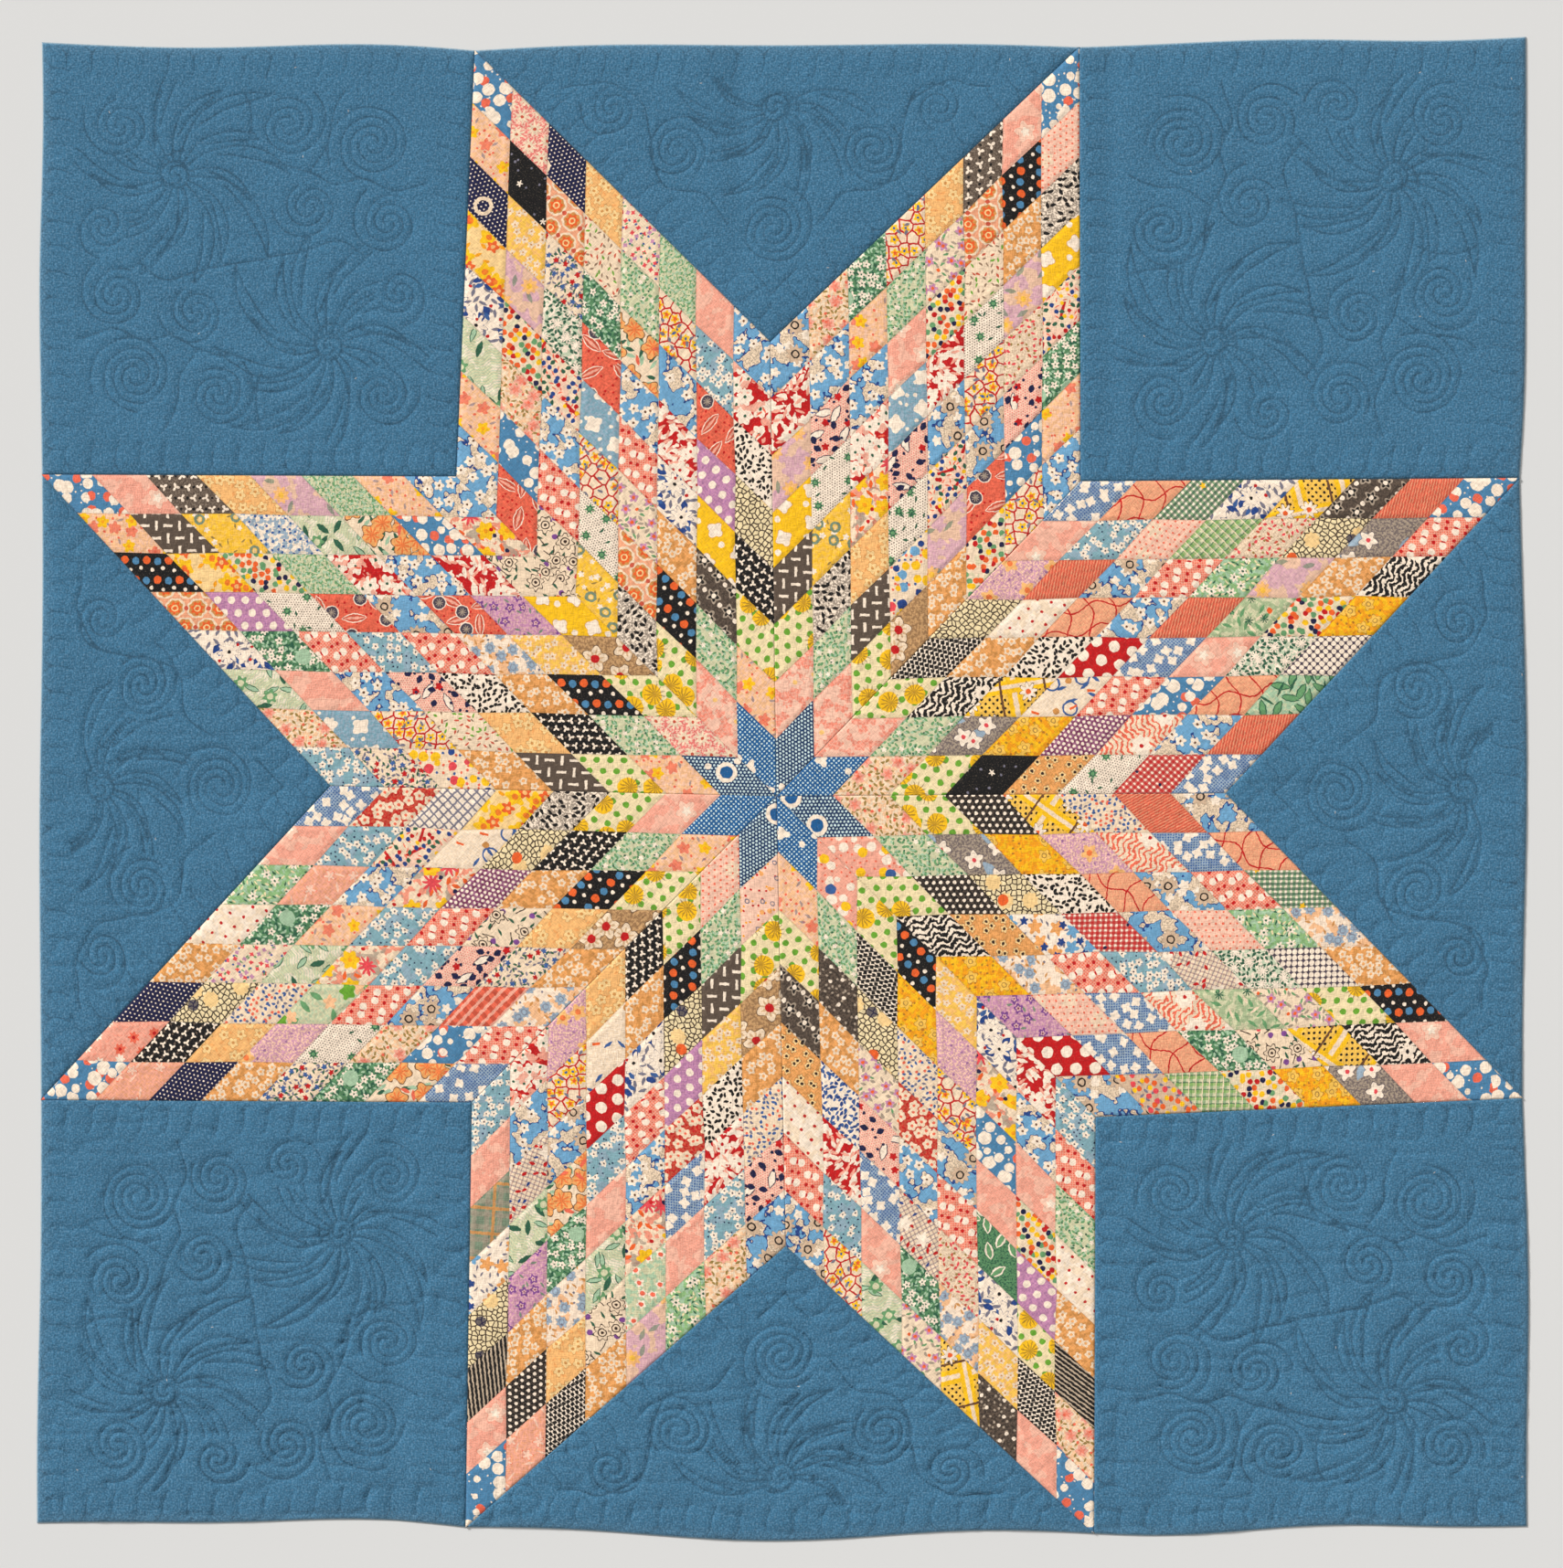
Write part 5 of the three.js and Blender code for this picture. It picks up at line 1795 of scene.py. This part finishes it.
def star_point(name, panel, cotton, seed):
    count = ROWS * PATCH_CELLS
    share = np.linspace(0, 1, count + 1)
    plan = np.stack(np.meshgrid(share, share, indexing="ij"), axis=-1).reshape(-1, 2)
    quads, rim = grid_faces(count)
    place = on_star_point(panel, plan + lattice_stray(plan, seed))
    within = (plan * ROWS) % 1
    gap = np.minimum(within, 1 - within) * PATCH_SIDE * SLANT
    seam = gap.min(axis=1)
    joint = bell(plan.min(axis=1) * POINT_SIDE * SLANT, SEAM_DIP_WIDTH)
    height = PATCH_CROWN - PATCH_DIP * (1 - JOINT_EASE * joint) * bell(seam, SEAM_DIP_WIDTH)
    free = 1 - bell(seam, FREE_MARGIN)
    crumple = uneven(PATCH_CRUMPLE, place) * free
    height += crumple * wave(PATCH_CRINKLE, place, seed) * rise(1, PATCH_CALM, seam, CRINKLE_REACH)
    height -= crumple * crease_lines(PATCH_PUCKER, PATCH_THINNESS, place, seed + 3)
    height += wave(PATCH_SWELL, place, seed + 1) * free
    blue_side = (1 - plan.max(axis=1)) * POINT_SIDE * SLANT
    height = np.minimum(height, rise(SEAM, PATCH_CROWN, blue_side, BLUE_SEAM_REACH))
    height += ALLOWANCE * smooth(within[:, 0] * PATCH_SIDE * SLANT, *ALLOWANCE_END) * smooth(seam, 0, 2)
    top = np.column_stack((place - MIDDLE, height * creased(place)))
    chart = patch_prints(name)
    used = sorted({print_name for row in chart for print_name in row})
    i, j = np.divmod(np.arange(len(quads)), count)
    patch_i, patch_j = i // PATCH_CELLS, j // PATCH_CELLS
    numbers = np.array([[used.index(print_name) for print_name in row] for row in chart])
    steps = np.array(((0, 0), (1, 0), (1, 1), (0, 1)))
    corner = np.stack((i, j), axis=-1)[:, None, :] + steps
    inside = (corner - np.stack((patch_i, patch_j), axis=-1)[:, None, :] * PATCH_CELLS) / PATCH_CELLS
    random = np.random.default_rng(seed)
    offset = random.uniform(0, PRINT_OFFSET, (ROWS, ROWS, 2))[patch_i, patch_j]
    flat = np.stack((inside[..., 0] + inside[..., 1] * SLANT, inside[..., 1] * SLANT), axis=-1)
    cloth = flat * PATCH_SIDE + offset[:, None, :]
    faces, turned_rim = facing_up(place, [quads], rim)
    if faces[0] is not quads:
        inside, cloth = inside[:, ::-1], cloth[:, ::-1]
    at_joint = np.stack((patch_i, patch_j), axis=-1)[:, None, :] == 0
    shaded = np.where(at_joint, np.maximum(inside, JOINT_MARGIN), inside)
    maps = {"cloth": cloth.reshape(-1, 2), "patch": shaded.reshape(-1, 2)}
    materials = [cotton[print_name] for print_name in used] + [cotton["blue"]]
    numbers = numbers[patch_i, patch_j]
    piece = cloth_piece("pieced_" + name, top, faces, turned_rim, materials, numbers, maps, {})
    return piece


def blue_panel(name, plan, faces, rim, sides, outer_count, tree, to_quilt, cotton, cell, seed):
    plan, gap, along, deep = stitch(plan, sides, tree, cell)
    place = to_quilt(plan)
    side_depths = np.maximum(depths(sides, plan), 0)
    height = quilted_height(gap, uneven(PANEL_RELIEF, place) * deep, side_depths, outer_count)
    calm = np.minimum(side_depths.min(axis=1) / CALM_MARGIN, 1)
    crumple = uneven(PANEL_CRUMPLE, place) * calm
    height += crumple * wave(PANEL_CRINKLE, place, seed) * rise(1, PANEL_CALM, gap, CRINKLE_REACH)
    height += crumple * wave(PANEL_SWELL, place, seed + 50)
    pucker = crease_lines(PANEL_PUCKER, PUCKER_THINNESS, place * PUCKER_STRETCH, seed + 90)
    height = np.maximum(height - crumple * pucker, THINNEST)
    top = np.column_stack((place - MIDDLE, height * creased(place)))
    faces, rim = facing_up(place, faces, rim)
    order = np.concatenate([part.ravel() for part in faces])
    fields = {
        "stitch_gap": gap + SHALLOW_GAP * (1 - deep),
        "stitch_along": along,
        "edge_gap": side_depths[:, :outer_count].min(axis=1),
    }
    count = sum(len(part) for part in faces)
    maps = {"cloth": plan[order] + seed * PANEL_OFFSET}
    piece = cloth_piece(name, top, faces, rim, [cotton["blue"]], np.zeros(count, np.int32), maps, fields)
    return piece


def corner_squares(cotton):
    side = POINT_SIDE
    sides = sides_of([(0, 0), (side, 0), (side, side), (0, side)])
    motifs = motif_lines(sides, SQUARE_SPIRALS, SQUARE_FANS, SQUARE_VINES)
    tree = line_tree(scallop_lines(sides), motifs)
    share = np.linspace(0, side, SQUARE_CELLS + 1)
    plan = np.stack(np.meshgrid(share, share, indexing="ij"), axis=-1).reshape(-1, 2)
    quads, rim = grid_faces(SQUARE_CELLS)
    pieces = []
    for seed, (name, panel) in enumerate(CORNER_SQUARES.items()):
        to_quilt = lambda points, panel=panel: on_square(panel, points)
        cell = side / SQUARE_CELLS
        piece = blue_panel(
            "quilted_" + name, plan, [quads], rim, sides, 2, tree, to_quilt, cotton, cell, seed + 1
        )
        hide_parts(name)
        pieces.append(piece)
    return pieces


def triangle_grid(count):
    """Plan points, faces and rim of a right-angled triangle on its long side, on a grid of count cells."""
    pitch = 2 * INNER / count
    number = -np.ones((count + 1, count // 2 + 1), int)
    i, j = np.meshgrid(np.arange(count + 1), np.arange(count // 2 + 1), indexing="ij")
    inside = (i >= j) & (i <= count - j)
    number[inside] = np.arange(inside.sum())
    plan = np.stack((i[inside], j[inside]), axis=-1) * pitch
    quads = np.stack((number[:-1, :-1], number[1:, :-1], number[1:, 1:], number[:-1, 1:]), axis=-1)
    quads = quads.reshape(-1, 4)
    whole = quads[(quads >= 0).all(axis=1)]
    steps = np.arange(count // 2)
    left = np.stack((number[steps, steps], number[steps + 1, steps], number[steps + 1, steps + 1]), axis=-1)
    back = count - steps
    right = np.stack((number[back - 1, steps], number[back, steps], number[back - 1, steps + 1]), axis=-1)
    rim = np.concatenate(
        (number[:-1, 0], number[back, steps], [number[count // 2, count // 2]], number[steps, steps][:0:-1])
    )
    return plan, [whole, np.concatenate((left, right))], rim


def side_triangles(cotton):
    base = 2 * INNER
    sides = sides_of([(0, 0), (base, 0), (INNER, INNER)])
    motifs = motif_lines(sides, TRIANGLE_SPIRALS, TRIANGLE_FANS, TRIANGLE_VINES)
    tree = line_tree(scallop_lines(sides), motifs)
    plan, faces, rim = triangle_grid(TRIANGLE_CELLS)
    pieces = []
    for seed, (name, panel) in enumerate(SIDE_TRIANGLES.items()):
        to_quilt = lambda points, panel=panel: on_triangle(panel, points)
        cell = base / TRIANGLE_CELLS
        piece = blue_panel(
            "quilted_" + name, plan, faces, rim, sides, 1, tree, to_quilt, cotton, cell, seed + 11
        )
        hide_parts(name)
        pieces.append(piece)
    return pieces


def star_points(cotton):
    pieces = []
    for seed, (name, panel) in enumerate(STAR_POINTS.items()):
        piece = star_point(name, panel, cotton, 101 + 7 * seed)
        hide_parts(name)
        pieces.append(piece)
    return pieces


# The floor, in metres, a hair under the quilt so that the two don't flicker
FLOOR_SIZE = 12
FLOOR_DROP = 0.0003
FLOOR_COLOUR = (0.72, 0.71, 0.69, 1)


def floor():
    pale = bpy.data.materials.new("floor")
    pale.use_nodes = True
    shader = pale.node_tree.nodes["Principled BSDF"]
    shader.inputs["Base Color"].default_value = FLOOR_COLOUR
    shader.inputs["Roughness"].default_value = 0.9
    bpy.ops.mesh.primitive_plane_add(size=FLOOR_SIZE, location=(0, 0, -FLOOR_DROP))
    made = bpy.context.object
    made.name = "floor"
    made.data.materials.append(pale)


# The photograph's frame, in its pixels, and what it shows of the quilt
FRAME_WIDTH = 1710
FRAME_HEIGHT = 1716
MM_PER_PIXEL = 0.9415
BOX_MIDDLE_PIXEL = (856.5, 863.5)
CAMERA_HEIGHT = 4.2


def camera():
    made = bpy.data.objects.new("camera", bpy.data.cameras.new("camera"))
    bpy.context.scene.collection.objects.link(made)
    made.data.sensor_fit = "HORIZONTAL"
    made.data.lens = made.data.sensor_width * CAMERA_HEIGHT / (FRAME_WIDTH * MM_PER_PIXEL * MM)
    x = (FRAME_WIDTH / 2 - BOX_MIDDLE_PIXEL[0]) * MM_PER_PIXEL * MM
    y = (BOX_MIDDLE_PIXEL[1] - FRAME_HEIGHT / 2) * MM_PER_PIXEL * MM
    made.location = (x, y, CAMERA_HEIGHT)
    bpy.context.scene.camera = made


# Soft light from all round, and two far lamps: strength, softness, tilt and heading in degrees
SKY_STRENGTH = 0.34
SUNS = {"key": (3.6, 12, 60, 312), "fill": (0.4, 60, 40, 120)}


def sun(name, strength, softness, tilt, heading):
    """A far lamp, tilted from straight overhead, shining from a compass heading in degrees."""
    lamp = bpy.data.lights.new(name, "SUN")
    lamp.energy = strength
    lamp.angle = math.radians(softness)
    made = bpy.data.objects.new(name, lamp)
    made.rotation_euler = (math.radians(tilt), 0, math.radians(180 - heading))
    bpy.context.scene.collection.objects.link(made)


def light():
    world = bpy.data.worlds.new("studio")
    world.use_nodes = True
    sky = world.node_tree.nodes["Background"]
    sky.inputs["Color"].default_value = (1, 1, 1, 1)
    sky.inputs["Strength"].default_value = SKY_STRENGTH
    bpy.context.scene.world = world
    for name, row in SUNS.items():
        sun(name, *row)


camera()
floor()
light()
bpy.context.scene.view_settings.view_transform = "Standard"
cottons = {name: printed_cotton(name) for name in PRINTS}
cottons["blue"] = blue_cotton()
for piece in star_points(cottons) + corner_squares(cottons) + side_triangles(cottons):
    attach(piece, "root")
